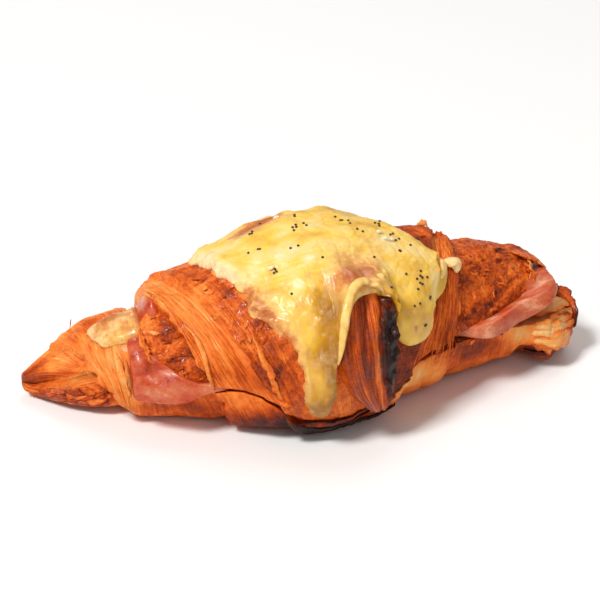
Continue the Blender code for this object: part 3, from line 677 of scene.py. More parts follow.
CHEESE_BULGES = (
    (27, 28, 6, 9, 1.2),
    (34, 50, 5, 12, 0.8),
    (-3, -2, 4, 12, 0.8),
    (-10, 127, 9, 4, 1.4),
    (4, 50, 4, 6, 0.6),
    (-2, 126, 3.5, 5, 1.5),
    (11, 122, 4.5, 6, 1.2),
    (4.5, 124, 2.5, 5, -1.0),
    (-10, 120, 5, 5, -0.9),
)
CHEESE_WET = (
    (8, 48, 7, 9, 1.0),
    (-17, 34, 4, 20, 0.35),
    (18, 40, 5, 16, 0.25),
    (-3, 24, 5, 20, 0.5),
)


def linear(code):
    """An sRGB hex colour as linear red, green and blue."""
    parts = [int(code[i : i + 2], 16) / 255 for i in (1, 3, 5)]
    return tuple(p / 12.92 if p <= 0.04045 else ((p + 0.055) / 1.055) ** 2.4 for p in parts)


# ---------------------------------------------------------------- curves and noise


def smooth_line(stations, at):
    """Reads a smooth curve through (place, value) stations at the places given."""
    places = np.array([station[0] for station in stations])
    values = np.array([station[1] for station in stations])
    slopes = np.gradient(values, places)
    at = np.clip(at, places[0], places[-1])
    index = np.clip(np.searchsorted(places, at) - 1, 0, len(places) - 2)
    span = places[index + 1] - places[index]
    t = (at - places[index]) / span
    return (
        values[index] * (1 + 2 * t) * (1 - t) ** 2
        + slopes[index] * span * t * (1 - t) ** 2
        + values[index + 1] * t**2 * (3 - 2 * t)
        - slopes[index + 1] * span * t**2 * (1 - t)
    )


def ease(t):
    """0 below 0, 1 above 1 and a smooth step between."""
    t = np.clip(t, 0, 1)
    return t * t * (3 - 2 * t)


def hill(distance, width):
    """1 at no distance, falling smoothly to 0 past the width on both sides."""
    return np.exp(-((distance / width) ** 2))


def spotted(spots, x, other):
    """Sum of soft spots: each has an x in millimetres, an angle or length, two spreads and a strength."""
    total = np.zeros_like(x)
    for spot_x, spot_other, long, wide, strength in spots:
        total += strength * hill(x / MM - spot_x, long) * hill(other - spot_other, wide)
    return total


def beside(x, y=0.0, z=0.0):
    """Points from their three coordinates, where y and z may be one number for all."""
    return np.stack(np.broadcast_arrays(x, y, z), axis=1)


def circle(angle):
    """Cosine and sine of angles in degrees."""
    return np.array((np.cos(np.radians(angle)), np.sin(np.radians(angle))))


CELL_DRAW = (127.1, 311.7, 74.7)  # what makes a cell's random draw from its place
PLATE_DRAWS = ((127.1, 311.7), (269.5, 183.3))  # what makes a plate's two random draws from its place


def draw(place):
    """A random number from -1 to 1, the same each time for the same place."""
    return np.modf(np.sin(place) * 43758.5453)[0]


def lumps(points, size, seed=0):
    """Smooth noise from -1 to 1 whose bumps are about size across."""
    scaled = points / size + seed * 17.3
    cell = np.floor(scaled)
    part = ease(scaled - cell)
    total = np.zeros(len(points))
    for corner in np.ndindex(2, 2, 2):
        share = np.prod(np.where(corner, part, 1 - part), axis=1)
        total += draw((cell + corner) @ np.array(CELL_DRAW)) * share
    return total


def crumble(points, size, seed=0):
    """Rough noise: lumps with finer lumps on them."""
    return sum(lumps(points, size / 2**k, seed + k) / 2**k for k in range(4))


def plates(points, size, seed=0):
    """Distance to the cracks between plates, 0 in a crack and towards 1 inside, and each plate's tone."""
    scaled = points[:, :2] / size
    cell = np.floor(scaled)
    nearest, second, tone = np.full(len(points), 9.0), np.full(len(points), 9.0), np.zeros(len(points))
    for corner in np.ndindex(3, 3):
        at = cell + np.array(corner) - 1
        draws = [draw(at @ np.array(each) + seed) for each in PLATE_DRAWS]
        distance = np.hypot(*(at + 0.5 + 0.45 * np.stack(draws, axis=1) - scaled).T)
        closer = distance < nearest
        second = np.where(closer, nearest, np.minimum(second, distance))
        nearest, tone = np.where(closer, distance, nearest), np.where(closer, draws[0], tone)
    return np.clip((second - nearest) * 2, 0, 1), tone


# ---------------------------------------------------------------- the roll's form


def roll_back(x):
    """Y of the roll's middle line."""
    return TIP_SETBACK * np.abs(2 * x / LENGTH) ** 1.6 - 2 * MM


def roll_size(x):
    """Half width, height, and the lower squareness of the roll at x."""
    place = 2 * x / LENGTH
    half = smooth_line([(p, w) for p, w, h in ROLL_OUTLINE], place) * WIDTH / 2
    tall = smooth_line([(p, h) for p, w, h in ROLL_OUTLINE], place) * HEIGHT
    left, right = LOWER_SQUARENESS
    square = left + (right - left) * ease(x / (22 * MM))
    return half, tall, square


def roll_section(x, angle):
    """Points on the smooth roll, at x and at an angle in degrees."""
    half, tall, square = roll_size(x)
    belt = BELT_SHARE * tall
    across, up = circle(angle)
    power = np.where(up >= 0, UPPER_SQUARENESS, square)
    rise = np.where(up >= 0, tall - belt, belt * UNDERSIDE_SHARE)
    reach = (np.abs(across / half) ** power + np.abs(up / rise) ** power) ** (-1 / power)
    return np.stack([x, roll_back(x) - reach * across, belt + reach * up], axis=1)


def roll_normal(x, angle):
    """Unit vectors that point out of the smooth roll."""
    step_x, step_angle = 0.5 * MM, 0.5
    along = roll_section(x + step_x, angle) - roll_section(x - step_x, angle)
    round_it = roll_section(x, angle + step_angle) - roll_section(x, angle - step_angle)
    normal = np.cross(along, round_it)
    return normal / np.linalg.norm(normal, axis=1)[:, None]


def lip_angle(x, height):
    """Angle at which the smooth roll's front is at the height given."""
    half, tall, square = roll_size(x)
    belt = BELT_SHARE * tall
    over = height - belt
    power = np.where(over >= 0, UPPER_SQUARENESS, square)
    rise = np.where(over >= 0, tall - belt, belt * UNDERSIDE_SHARE)
    reach = half * np.clip(1 - np.abs(over / rise) ** power, 0, 1) ** (1 / power)
    return np.degrees(np.arctan2(over, reach))


def round_length(angle):
    """Length round the roll from its front to an angle, near enough for patterns."""
    return np.radians(angle) * WIDTH / 3


def flat_spot(x, angle):
    """The crust laid flat: x, and the length round the roll."""
    return beside(x, round_length(angle))


def line_at(line, angle):
    """X of a line round the roll, a parabola through its front, ridge and back."""
    front, ridge, back = line[:3]
    t = np.clip(angle / 90, -0.5, 2.5)
    bend = (back - 2 * ridge + front) / 2
    return front + (ridge - front - bend) * t + bend * t * t


def layer_offset(layer, x, angle):
    """How far x lies right of a layer's ragged edge."""
    depth, size = EDGE_RAGGED
    return x - line_at(layer, angle) - depth * crumble(flat_spot(x, angle) * (0.4, 1, 1), size, 40)


def layer_relief(x, angle):
    """Height of the rolled layers over the smooth roll: each edge is a step that fades inwards."""
    height = np.zeros_like(x)
    for side, layers in ((1, LEFT_LAYERS), (-1, RIGHT_LAYERS)):
        for layer in layers:
            inside = side * layer_offset(layer, x, angle)
            step = ease(inside / LAYER_EDGE + 0.5) * np.exp(-np.clip(inside, 0, None) / LAYER_FADE)
            step -= LAYER_GROOVE[0] * hill(inside + LAYER_EDGE, LAYER_GROOVE[1])
            share, start, length = TIP_STEP_LOWER if layer is LEFT_LAYERS[0] else (0, 0, 1)
            height += layer[3] * step * (1 - share * ease((angle - start) / length))
    return height


def tongue_place(x, angle):
    """Place across the tongue, from -1 at its left side to 1 at its right, and 1 where it stands up."""
    left, right = (smooth_line([(row[0], row[side]) for row in TONGUE_SIDES], angle) for side in (1, 2))
    across = (2 * x - left - right) / (right - left)
    at_foot, at_top = TONGUE_FADES
    return across, ease((angle - TONGUE_FOOT) / at_foot) * ease((TONGUE_TOP - angle) / at_top)


def tongue_relief(x, angle):
    """Height of the tongue: long ridges with grooves between, steep at its sides and its foot."""
    across, stands = tongue_place(x, angle)
    least, gain, start, length = TONGUE_SOFTENS
    soft = least + gain * ease((angle - start) / length)
    profile = ease((0.95 + soft / 2 - np.abs(across)) / soft)
    profile = profile * (1 - TONGUE_DOME * np.minimum(across**2, 1.5))
    wander = TONGUE_SWAY[0] * np.sin(angle / TONGUE_SWAY[1])
    for place, spread, deep, sway in TONGUE_VALLEYS:
        profile -= deep * hill(across - place + sway * wander, spread)
    spacing, depth = TONGUE_GROOVES
    lines = beside(across * TONGUE_WIDE / 2, np.radians(angle) * 4 * MM)
    grooves = depth * lumps(lines, spacing, 14) * ease((1.05 - np.abs(across)) / 0.2)
    tall, size, place, spread = TONGUE_CLUMPS
    clumps = tall * crumble(flat_spot(x, angle), size, 19) * hill(across - place, spread)
    return (TONGUE_HEIGHT * profile + grooves + clumps) * stands


def grain(x, angle):
    """The crust laid out along its layers: how far across them, and how far along them."""
    across = np.full_like(x, (GRAIN_LINES[0][0] + GRAIN_LINES[0][1]) / 2 * MM)
    for line, after in zip(GRAIN_LINES, GRAIN_LINES[1:]):
        start, end = line_at(line, angle) * MM, line_at(after, angle) * MM
        width = (after[0] + after[1] - line[0] - line[1]) / 2 * MM
        across += np.clip((x - start) / (end - start), 0, 1) * width
    along = round_length(angle)
    place, stands = tongue_place(x, angle)
    on_tongue = ease((1.1 - np.abs(place)) / 0.2) * ease(stands * 3)
    across = across + on_tongue * (place * TONGUE_WIDE / 2 - across)
    fan_x, fan_angle, radius = TIP_FAN
    tip = 1 - ease(layer_offset(LEFT_LAYERS[0], x, angle) / LAYER_EDGE + 0.5)
    step_x, step_round = np.maximum(fan_x - x, 0) + 2 * MM, round_length(angle - fan_angle)
    across = across + tip * (np.arctan2(step_round, step_x) * radius - across)
    along = along + tip * (np.hypot(step_x, step_round) - along)
    return beside(across, along)


def lump_cracks(x, angle):
    """The browned plates on the tip's lower lump: its cracks, the plates' tones and the lump's share."""
    left, right, high, size = TIP_LUMP
    fade, turn = LUMP_FADE
    share = ease((x - left) / fade + 1) * ease((right - x) / fade + 1) * ease((high - angle) / turn)
    spot = flat_spot(x, angle)
    far, length = LUMP_WANDER
    spot[:, 0] += far * lumps(spot, length, 51)
    spot[:, 1] += far * lumps(spot, length, 52)
    inside, tone = plates(spot, size, 5)
    return share * (1 - inside) ** 6, share * tone, share


def end_folds(x, angle):
    """Pale folds that fan out to the lower half's right end: their height from -1 to 1, and share."""
    start, low, shows, count = END_FOLDS
    height = roll_section(x, angle)[:, 2]
    fan = np.arctan2(height - low, x - start)
    wander = END_FOLD_SWAY[0] * lumps(beside(x, height), END_FOLD_SWAY[1], 11)
    share = ease((x - shows) / (5 * MM)) * ease((60 - angle) / 20) * ease((angle + 60) / 20)
    return np.sin(count * (fan + wander)), share


def region_shares(x, angle, lower):
    """How much each region of the crust has at a point. The shares add up to 1."""

    def right_of(offset, width=REGION_FADE):
        return ease(offset / width + 0.5)

    tip_edge, middle_edge, skin_edge = (right_of(layer_offset(layer, x, angle)) for layer in LEFT_LAYERS)
    strip_end, strip_start = (right_of(layer_offset(layer, x, angle)) for layer in RIGHT_LAYERS)
    middle = right_of(x - LOBE_START[0], LOBE_START[1])
    shares = {
        "tip": 1 - tip_edge,
        "second" if lower else "rough": tip_edge * (1 - middle_edge),
        "fine": middle_edge * (1 - skin_edge),
        "skin": skin_edge * (1 - middle) * (1 - strip_start),
        "lobe": skin_edge * middle * (1 - strip_start),
        "strip": strip_start * (1 - strip_end),
        "right": strip_end,
    }
    if lower:
        base = right_of(x - TORN_END, BASE_FADE)
        shares = {name: share * (1 - base) for name, share in shares.items()}
        shares["base"] = base
    else:
        across, stands = tongue_place(x, angle)
        tongue = ease((1.1 - np.abs(across)) / 0.2) * ease(stands * 2)
        shares = {name: share * (1 - tongue) for name, share in shares.items()}
        shares["tongue"] = tongue
    total = sum(shares.values())
    return {name: share / total for name, share in shares.items()}


def blistering(x, angle):
    """How much the brown skin beside the melted cheese is blistered."""
    spot_x, long, spot_angle, wide, slant = BLISTERED
    return hill(x - spot_x + (angle - spot_angle) * slant, long) * hill(angle - spot_angle, wide)


def upper_bake(x, angle, shares):
    """How the upper half's bake changes on its tongue and its blisters, and how burnt the tongue is."""
    spot = flat_spot(x, angle)
    across, _ = tongue_place(x, angle)
    strength, place, spread, middle, turn = TONGUE_BURNT
    burnt = strength * hill(across - place, spread) * hill(angle - middle, turn)
    burnt = burnt * (1 + 0.5 * crumble(spot, 5 * MM, 18))
    ridge = sum(share * hill(across - place, spread) for place, spread, share in TONGUE_RIDGES)
    change = shares["tongue"] * (TONGUE_BAKE[0] * burnt + TONGUE_BAKE[1] * ridge)
    mottle = BLISTER_MOTTLE[0] * crumble(spot, BLISTER_MOTTLE[1], 20)
    return change + mottle * blistering(x, angle), burnt


def crust_look(x, angle, lower):
    """Bake, grain strength, roughness of the flakes and gloss at points of the crust."""
    shares = region_shares(x, angle, lower)
    bake, streaks, flaky, gloss = (
        sum(share * REGION_LOOK[name][column] for name, share in shares.items()) for column in range(4)
    )
    bake = bake + spotted(LOWER_SPOTS if lower else UPPER_SPOTS, x, angle)
    for share, (change, start, length) in ((shares.get("fine", 0), FINE_PALER), (1, BASE_DARKER)):
        bake = bake + share * change * ease((angle - start) / length)
    if lower:
        cracks, plate_tone, lump = lump_cracks(x, angle)
        bake = bake + LUMP_BAKE[0] * lump + LUMP_BAKE[1] * cracks + LUMP_BAKE[2] * plate_tone
        flaky, streaks = flaky + 0.3 * lump, streaks * (1 - 0.8 * lump)
        folds, end = end_folds(x, angle)
        height = roll_section(x, angle)[:, 2]
        rim_x, fade, low, low_fade = END_RIM
        rim = np.maximum(ease((x - rim_x) / fade), ease((low - height) / low_fade))
        bake = bake + end * (END_BAKE[0] + END_BAKE[1] * folds + END_BAKE[2] * rim - bake)
        streaks = streaks * (1 - end)
    else:
        change, burnt = upper_bake(x, angle, shares)
        bake = bake + change
        gloss = gloss + 0.6 * blistering(x, angle) - 0.2 * shares["tongue"] * np.clip(burnt, 0, 1)
    bake = bake + BAKE_MOTTLE[0] * crumble(flat_spot(x, angle), BAKE_MOTTLE[1], 5)
    streaks = streaks * (1 - hill(layer_offset(LEFT_LAYERS[0], x, angle), 1.6 * MM))
    return np.clip(bake, 0, 1), streaks, flaky, np.clip(gloss, 0, 1)


def lower_relief(x, angle):
    """The tip's wrinkles, cracks and shoulder, the notches and creases below, and the end's folds."""
    cracks, _, lump = lump_cracks(x, angle)
    at_tip = ease((TIP_GRAIN[0] - x) / TIP_GRAIN[1]) * (1 - lump)
    size, tall = TIP_WRINKLES
    wrinkles = tall * lumps(grain(x, angle) * (1, 0.15, 1), size, 16) * at_tip
    depth, width, step = LUMP_NOTCH
    tip_notch = depth * hill(layer_offset(LEFT_LAYERS[0], x, angle) + step, width) * ease((12 - angle) / 25)
    place, length, depth = BASE_NOTCH
    base_notch = depth * hill(x - place, length) * ease((-8 - angle) / 15) * ease((angle + 85) / 30)
    place, spread, spacing, depth = BASE_CREASES
    creased = np.abs(lumps(beside(x + angle * 0.1 * MM), spacing, 23))
    creases = depth * (1 - creased) ** 3 * hill(x - place, spread) * ease((6 - angle) / 12)
    folds, end = end_folds(x, angle)
    raised = END_FOLD_DEPTH * folds * end + wrinkles + spotted(TIP_SHOULDER, x, angle) * MM
    return raised - LUMP_CRACKS * cracks - tip_notch - base_notch - creases


def upper_relief(x, angle):
    """Blisters of the brown skin and of the tongue's burnt side."""
    size, tall = BLISTERS
    across, stands = tongue_place(x, angle)
    burnt = hill(across - 0.7, 0.4) * stands
    bubbles = np.clip(lumps(flat_spot(x, angle), size, 17), 0, 1) * tall
    return bubbles * (blistering(x, angle) + 1.3 * burnt)


def crust_relief(x, angle, lower):
    """Layers, tongue, the tip's crease, crags, the layers' fine grain and the flakes of the crust."""
    spot, along = flat_spot(x, angle), grain(x, angle)
    crag_x, crag_length, crag_angle, crag_turn = CRAG_PLACE
    crags = hill(x - crag_x, crag_length) * hill(angle - crag_angle, crag_turn)
    crease_start, crease_rise, crease_turn = TIP_CREASE_ANGLE
    crease_angle = crease_start + crease_rise * (x + LENGTH / 2) / MM
    crease = hill(angle - crease_angle, crease_turn) * ease((TIP_CREASE_END - x) / TIP_CREASE_FADE)
    _, streaks, flaky, _ = crust_look(x, angle, lower)
    fine_grain = sum(
        tall * lumps(along * (1, stretch, 1), size, seed) for tall, size, stretch, seed in FINE_GRAIN
    )
    flakes_up = FLAKES[0] * crumble(spot * (1.3, 1, 1), FLAKES[1], 8)
    flakes_up -= FLAKE_CRACKS[0] * (1 - plates(spot, FLAKE_CRACKS[1], 2)[0]) ** 3
    return (
        (lower_relief if lower else upper_relief)(x, angle)
        + layer_relief(x, angle)
        + tongue_relief(x, angle)
        - CRUST_SETBACK
        + SWELLS[0] * lumps(spot, SWELLS[1], 1)
        + (WRINKLES[0] + CRAG_DEPTH * crags) * lumps(spot, WRINKLES[1], 2)
        - TIP_CREASE_DEPTH * crease
        + streaks * fine_grain
        + flaky * flakes_up
    )


def on_roll(x, angle, lift=0.0, lower=False):
    """Points lifted off the layered roll along its normal."""
    relief = crust_relief(x, angle, lower)
    return roll_section(x, angle) + roll_normal(x, angle) * (relief + lift)[:, None]


# ---------------------------------------------------------------- the split


def lip_heights(stations, back, x, front_side):
    """Height of a lip at x on the side asked for, and halfway between the front and the back."""
    front = smooth_line(stations, x)
    return np.where(front_side, front, back), (front + back) / 2


def split_ring(x, angle, low, high, skin, low_profile=None, high_profile=None):
    """A closed ring of the roll between two lips.

    Between the lips the ring follows skin(x, angle). Past a lip it runs in to the middle, where
    the profile gives its height over the lip from the share of the way in.
    """
    front_side = angle < 90
    fold = np.where(front_side, angle, 180 - angle)
    low_lip, low_middle = low(x, front_side)
    high_lip, high_middle = high(x, front_side)
    low_angle = np.clip(lip_angle(x, low_lip), -89, 89)
    high_angle = np.clip(lip_angle(x, high_lip), low_angle + 1, 89.5)
    held = np.clip(fold, low_angle, high_angle)
    points = skin(x, np.where(front_side, held, 180 - held))
    high_middle = np.minimum(high_middle, roll_size(x)[1])
    under = np.clip((low_angle - fold) / (low_angle + 90), 0, 1)
    over = np.clip((fold - high_angle) / (90 - high_angle), 0, 1) * (high_angle < 89)
    points[:, 0] += (x - points[:, 0]) * (under + over)
    points[:, 1] += (roll_back(x) - points[:, 1]) * (under + over)
    for share, middle, profile in ((under, low_middle, low_profile), (over, high_middle, high_profile)):
        if profile is not None:
            points[:, 2] += (middle - points[:, 2]) * ease(share * 1.5) + profile(x, share) * (share > 0)
    return points


def ragged(x):
    """How far a torn lip wanders up and down."""
    depth, size = LIP_RAGGED
    return depth * crumble(beside(x), size, 12)


def upper_lip(x, front_side):
    return lip_heights(UPPER_LIP, BACK_UPPER_LIP, x, front_side)


def torn_upper_lip(x, front_side):
    lip, middle = upper_lip(x, front_side)
    return lip + ragged(x), middle


def lower_lip(x, front_side):
    return lip_heights(LOWER_LIP, BACK_LOWER_LIP, x, front_side)


def whole_below(x, front_side):
    return np.full_like(x, -1.0), np.zeros_like(x)


def whole_above(x, front_side):
    return np.full_like(x, 1.0), np.zeros_like(x)


def level(x, share):
    return np.zeros_like(x)


def tray(x, share):
    """The lower half's top dips a little inside its lip."""
    return -TRAY_DIP * ease(share * 8)


def pocket(x, share):
    """Height of the upper half's hollow over its lip."""
    return POCKET_DEPTH * ease((share - POCKET_WALL) / POCKET_WALL)


def between(ends, t):
    """Places from one end to the other as t goes from 0 to 1, where the caps stay at the ends."""
    return ends[0] + (ends[1] - ends[0]) * np.clip((t - POLE_CAP) / (1 - 2 * POLE_CAP), 0, 1)


def drawn_to_poles(t, ends, ring, bulge=0):
    """Sections from one end to the other, drawn in to a pole over the cap at each end."""
    points = ring(between(ends, t))
    inside = np.clip(np.minimum(t, 1 - t) / POLE_CAP, 0, 1)
    size = np.sin(inside * math.pi / 2)
    for side in (t < 0.5, t >= 0.5):
        middle = points[side & (inside < 1)].mean(axis=0)
        points[side] = middle + (points[side] - middle) * size[side][:, None]
    points[:, 0] += np.where(t < 0.5, -bulge, bulge) * np.sqrt(np.clip(1 - size**2, 0, 1))
    return points


# ---------------------------------------------------------------- meshes


def moved_ball(name, rows, place, warp_t=None, warp_angle=None):
    """A closed mesh: a ball's points are moved to where place(t, angle) says.

    t runs from 0 at one pole to 1 at the other, and angle from -90 to 270 round the ball. The
    warps, as (place, value) stations, put more of the ball's rows where the detail is.
    """

    def warped(ball, t, angle):
        if warp_t:
            t = np.interp(t, *zip(*warp_t))
        if warp_angle:
            angle = np.interp(angle, *zip(*warp_angle))
        return place(t, angle)

    return moved_balls(name, 1, rows, warped)


def moved_balls(name, count, rows, place):
    """Closed meshes in one piece, each a ball whose points are moved to place(ball, t, angle)."""
    work = bmesh.new()
    bmesh.ops.create_uvsphere(work, u_segments=rows[0], v_segments=rows[1], radius=1)
    bmesh.ops.triangulate(work, faces=work.faces)
    mesh = bpy.data.meshes.new(name)
    work.to_mesh(mesh)
    work.clear()
    for _ in range(count):
        work.from_mesh(mesh)
    work.to_mesh(mesh)
    work.free()
    ball = np.empty(len(mesh.vertices) * 3, np.float32)
    mesh.vertices.foreach_get("co", ball)
    ball = ball.reshape(-1, 3).astype(float)
    t = np.arccos(np.clip(ball[:, 2], -1, 1)) / math.pi
    angle = np.mod(np.degrees(np.arctan2(ball[:, 1], ball[:, 0])) + 90, 360) - 90
    which = np.repeat(np.arange(count), len(ball) // count)
    points, fields = place(which, t, angle)
    mesh.vertices.foreach_set("co", points.astype(np.float32).ravel())
    for field, values in fields.items():
        kind, slot = ("FLOAT_VECTOR", "vector") if values.ndim == 2 else ("FLOAT", "value")
        mesh.attributes.new(field, kind, "POINT").data.foreach_set(slot, values.astype(np.float32).ravel())
    mesh.update()
    return finished(name, mesh)


def finished(name, mesh):
    """Links a mesh as an object, with its faces outwards and smooth."""
    work = bmesh.new()
    work.from_mesh(mesh)
    if work.calc_volume(signed=True) < 0:
        bmesh.ops.reverse_faces(work, faces=work.faces)
    work.to_mesh(mesh)
    work.free()
    mesh.shade_smooth()
    made = bpy.data.objects.new(name, mesh)
    bpy.context.scene.collection.objects.link(made)
    return made


def dress(piece, finish, slot, *nodes):
    """Gives a piece its material, and its place in the frame."""
    piece.data.materials.clear()
    piece.data.materials.append(finish)
    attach(piece, "root")
    if nodes:
        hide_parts(*nodes)
    return piece


# ---------------------------------------------------------------- materials


def fill(tree, node, values):
    """Gives a node's sockets, by name or number, their values or links."""
    for socket, value in values.items():
        if isinstance(value, bpy.types.NodeSocket):
            tree.links.new(value, node.inputs[socket])
        else:
            node.inputs[socket].default_value = value


def add_node(tree, kind, inputs, output=0, stops=(), **settings):
    """Adds a node with its settings, its inputs and a ramp's colour stops, and gives one output back."""
    node = tree.nodes.new(kind)
    for name, value in settings.items():
        setattr(node, name, value)
    fill(tree, node, inputs)
    for index, (place, colour) in enumerate(stops):
        elements = node.color_ramp.elements
        element = elements[index] if index < len(elements) else elements.new(1)
        element.position, element.color = place, (*colour, 1)
    return node.outputs[output]


def new_material(name):
    """A new material, its node tree and its shader."""
    made = bpy.data.materials.new(name)
    made.use_nodes = True
    tree = made.node_tree
    return made, tree, tree.nodes["Principled BSDF"]


def noise(tree, vector, spacing, detail=2, stretch=(1, 1, 1)):
    """Noise whose bumps are spacing metres apart, longer where stretch is under 1."""
    scale = [part / spacing for part in stretch]
    scaled = add_node(tree, "ShaderNodeMapping", {"Vector": vector, "Scale": scale})
    return add_node(tree, "ShaderNodeTexNoise", {"Vector": scaled, "Scale": 1, "Detail": detail})


def add_up(tree, start, *terms):
    """start plus value * weight for each (value, weight) term, all of them numbers or sockets."""
    for value, weight in terms:
        inputs = {0: value, 1: weight, 2: start}
        start = add_node(tree, "ShaderNodeMath", inputs, operation="MULTIPLY_ADD")
    return start


def weighted(tree, start, *pairs):
    """start plus (noise - 0.5) * weight for each (noise, weight) pair."""
    return add_up(tree, start, *pairs, (-0.5, sum(weight for _, weight in pairs)))


def thin_lines(tree, value, width):
    """1 along the lines where a noise crosses its middle value, 0 away from them."""
    offset = add_node(tree, "ShaderNodeMath", {0: add_up(tree, -0.5, (value, 1))}, operation="ABSOLUTE")
    return add_node(
        tree, "ShaderNodeMapRange", {"Value": offset, "From Max": width, "To Min": 1, "To Max": 0}
    )


def baked_laminated_dough(settings):
    """Egg-washed butter dough: the eye sees its layers as fine streaks of light and dark orange, and
    browned, brittle flakes with small sharp glints where the wash was thick."""
    made, tree, shader = new_material("baked_laminated_dough")
    place = add_node(tree, "ShaderNodeTexCoord", {}, "Object")
    layers = add_node(tree, "ShaderNodeAttribute", {}, "Vector", attribute_name="grain")
    bake, streaks, flaky, gloss = (
        add_node(tree, "ShaderNodeAttribute", {}, "Fac", attribute_name=name)
        for name in ("bake", "streaks", "flaky", "gloss")
    )
    spacing = settings.layer_spacing
    fine = noise(tree, layers, 0.5 * spacing, 2, (1, 0.05, 1))
    middle = noise(tree, layers, 1.3 * spacing, 2, (1, 0.06, 1))
    broad = noise(tree, layers, 4 * spacing, 2, (1, 0.12, 1))
    blotches = noise(tree, place, 6 * MM, 3)
    patches = noise(tree, place, 2.4 * MM, 3)
    specks = noise(tree, place, 0.9 * MM, 3)
    gaps = add_up(tree, 0, (thin_lines(tree, middle, 0.02), 0.06))
    streaky = weighted(tree, gaps, (fine, 0.55), (middle, 0.5), (broad, 0.2))
    mottled = weighted(tree, 0, (blotches, 0.45), (patches, 0.45), (specks, 0.35))
    tone = add_up(tree, bake, (streaky, streaks), (mottled, add_up(tree, 0.3, (flaky, 1))))
    stops = (
        (0.00, settings.raw_colour),
        (0.12, linear("#f6ab5e")),
        (0.24, linear("#f8923f")),
        (0.36, settings.golden_colour),
        (0.48, linear("#d4590f")),
        (0.58, linear("#b24306")),
        (0.70, settings.brown_colour),
        (0.82, linear("#521803")),
        (0.92, linear("#361407")),
        (1.00, settings.burnt_colour),
    )
    wash = weighted(tree, add_up(tree, -0.3, (gloss, 1)), (blotches, 1.6), (patches, 1.2))
    lines = add_up(tree, 0, (weighted(tree, 0, (fine, 0.6), (middle, 1.0)), streaks))
    crumbs = weighted(tree, 0, (patches, 1.0), (specks, 0.5))
    crumbs = add_up(tree, 0, (crumbs, add_up(tree, 0.25, (flaky, 1))))
    grooved = add_node(tree, "ShaderNodeBump", {"Height": lines, "Distance": 0.9 * MM})
    rough = {"Height": crumbs, "Distance": 0.9 * MM, "Normal": grooved}
    fill(tree, shader, {
        "Base Color": add_node(tree, "ShaderNodeValToRGB", {0: tone}, stops=stops),
        "Roughness": weighted(tree, add_up(tree, 0.6, (gloss, -0.3)), (patches, 0.5)),
        "Normal": add_node(tree, "ShaderNodeBump", rough),
        "Coat Weight": add_node(tree, "ShaderNodeClamp", {"Value": wash}),
        "Coat Roughness": 0.12,
        "Coat IOR": 1.38,
        "IOR": 1.33,
        "Specular IOR Level": 0.35,
        "Subsurface Weight": 0.05,
        "Subsurface Radius": (1.0, 0.4, 0.15),
        "Subsurface Scale": 1.2 * MM,
    })
    return made


def moist_cured_ham(settings):
    """Cured, cooked and sliced ham: moist and a little see-through, pink with paler fat and muscle
    seams, and a wet sheen. Its deepest tone is painted shade in its folds and crease."""
    made, tree, shader = new_material("moist_cured_ham")
    place = add_node(tree, "ShaderNodeTexCoord", {}, "Object")
    tone = add_node(tree, "ShaderNodeAttribute", {}, "Fac", attribute_name="tone")
    broad = noise(tree, place, 12 * MM, 2)
    marbling = noise(tree, place, 4 * MM, 4, (0.5, 1, 1))
    muscle = noise(tree, place, 7 * MM, 3, (0.6, 1, 1))
    pores = noise(tree, place, 0.8 * MM, 2)
    tone = add_up(tree, tone, (thin_lines(tree, muscle, 0.035), 0.10))
    tone = weighted(tree, tone, (broad, 0.8), (marbling, 1.3), (pores, 0.3))
    stops = (
        (0.0, settings.ham_shadow_colour),
        (0.35, settings.ham_colour),
        (0.62, linear("#cd6c44")),
        (0.85, settings.ham_fat_colour),
    )
    relief = weighted(tree, 0, (marbling, 0.8), (pores, 0.2))
    fill(tree, shader, {
        "Base Color": add_node(tree, "ShaderNodeValToRGB", {0: tone}, stops=stops),
        "Roughness": weighted(tree, 0.34, (marbling, 0.5)),
        "Normal": add_node(tree, "ShaderNodeBump", {"Height": relief, "Distance": 0.6 * MM}),
        "Coat Weight": 0.4,
        "Coat Roughness": 0.14,
        "Coat IOR": 1.4,
        "IOR": 1.38,
        "Subsurface Weight": 0.25,
        "Subsurface Radius": (1.0, 0.35, 0.25),
        "Subsurface Scale": 2.5 * MM,
    })
    return made


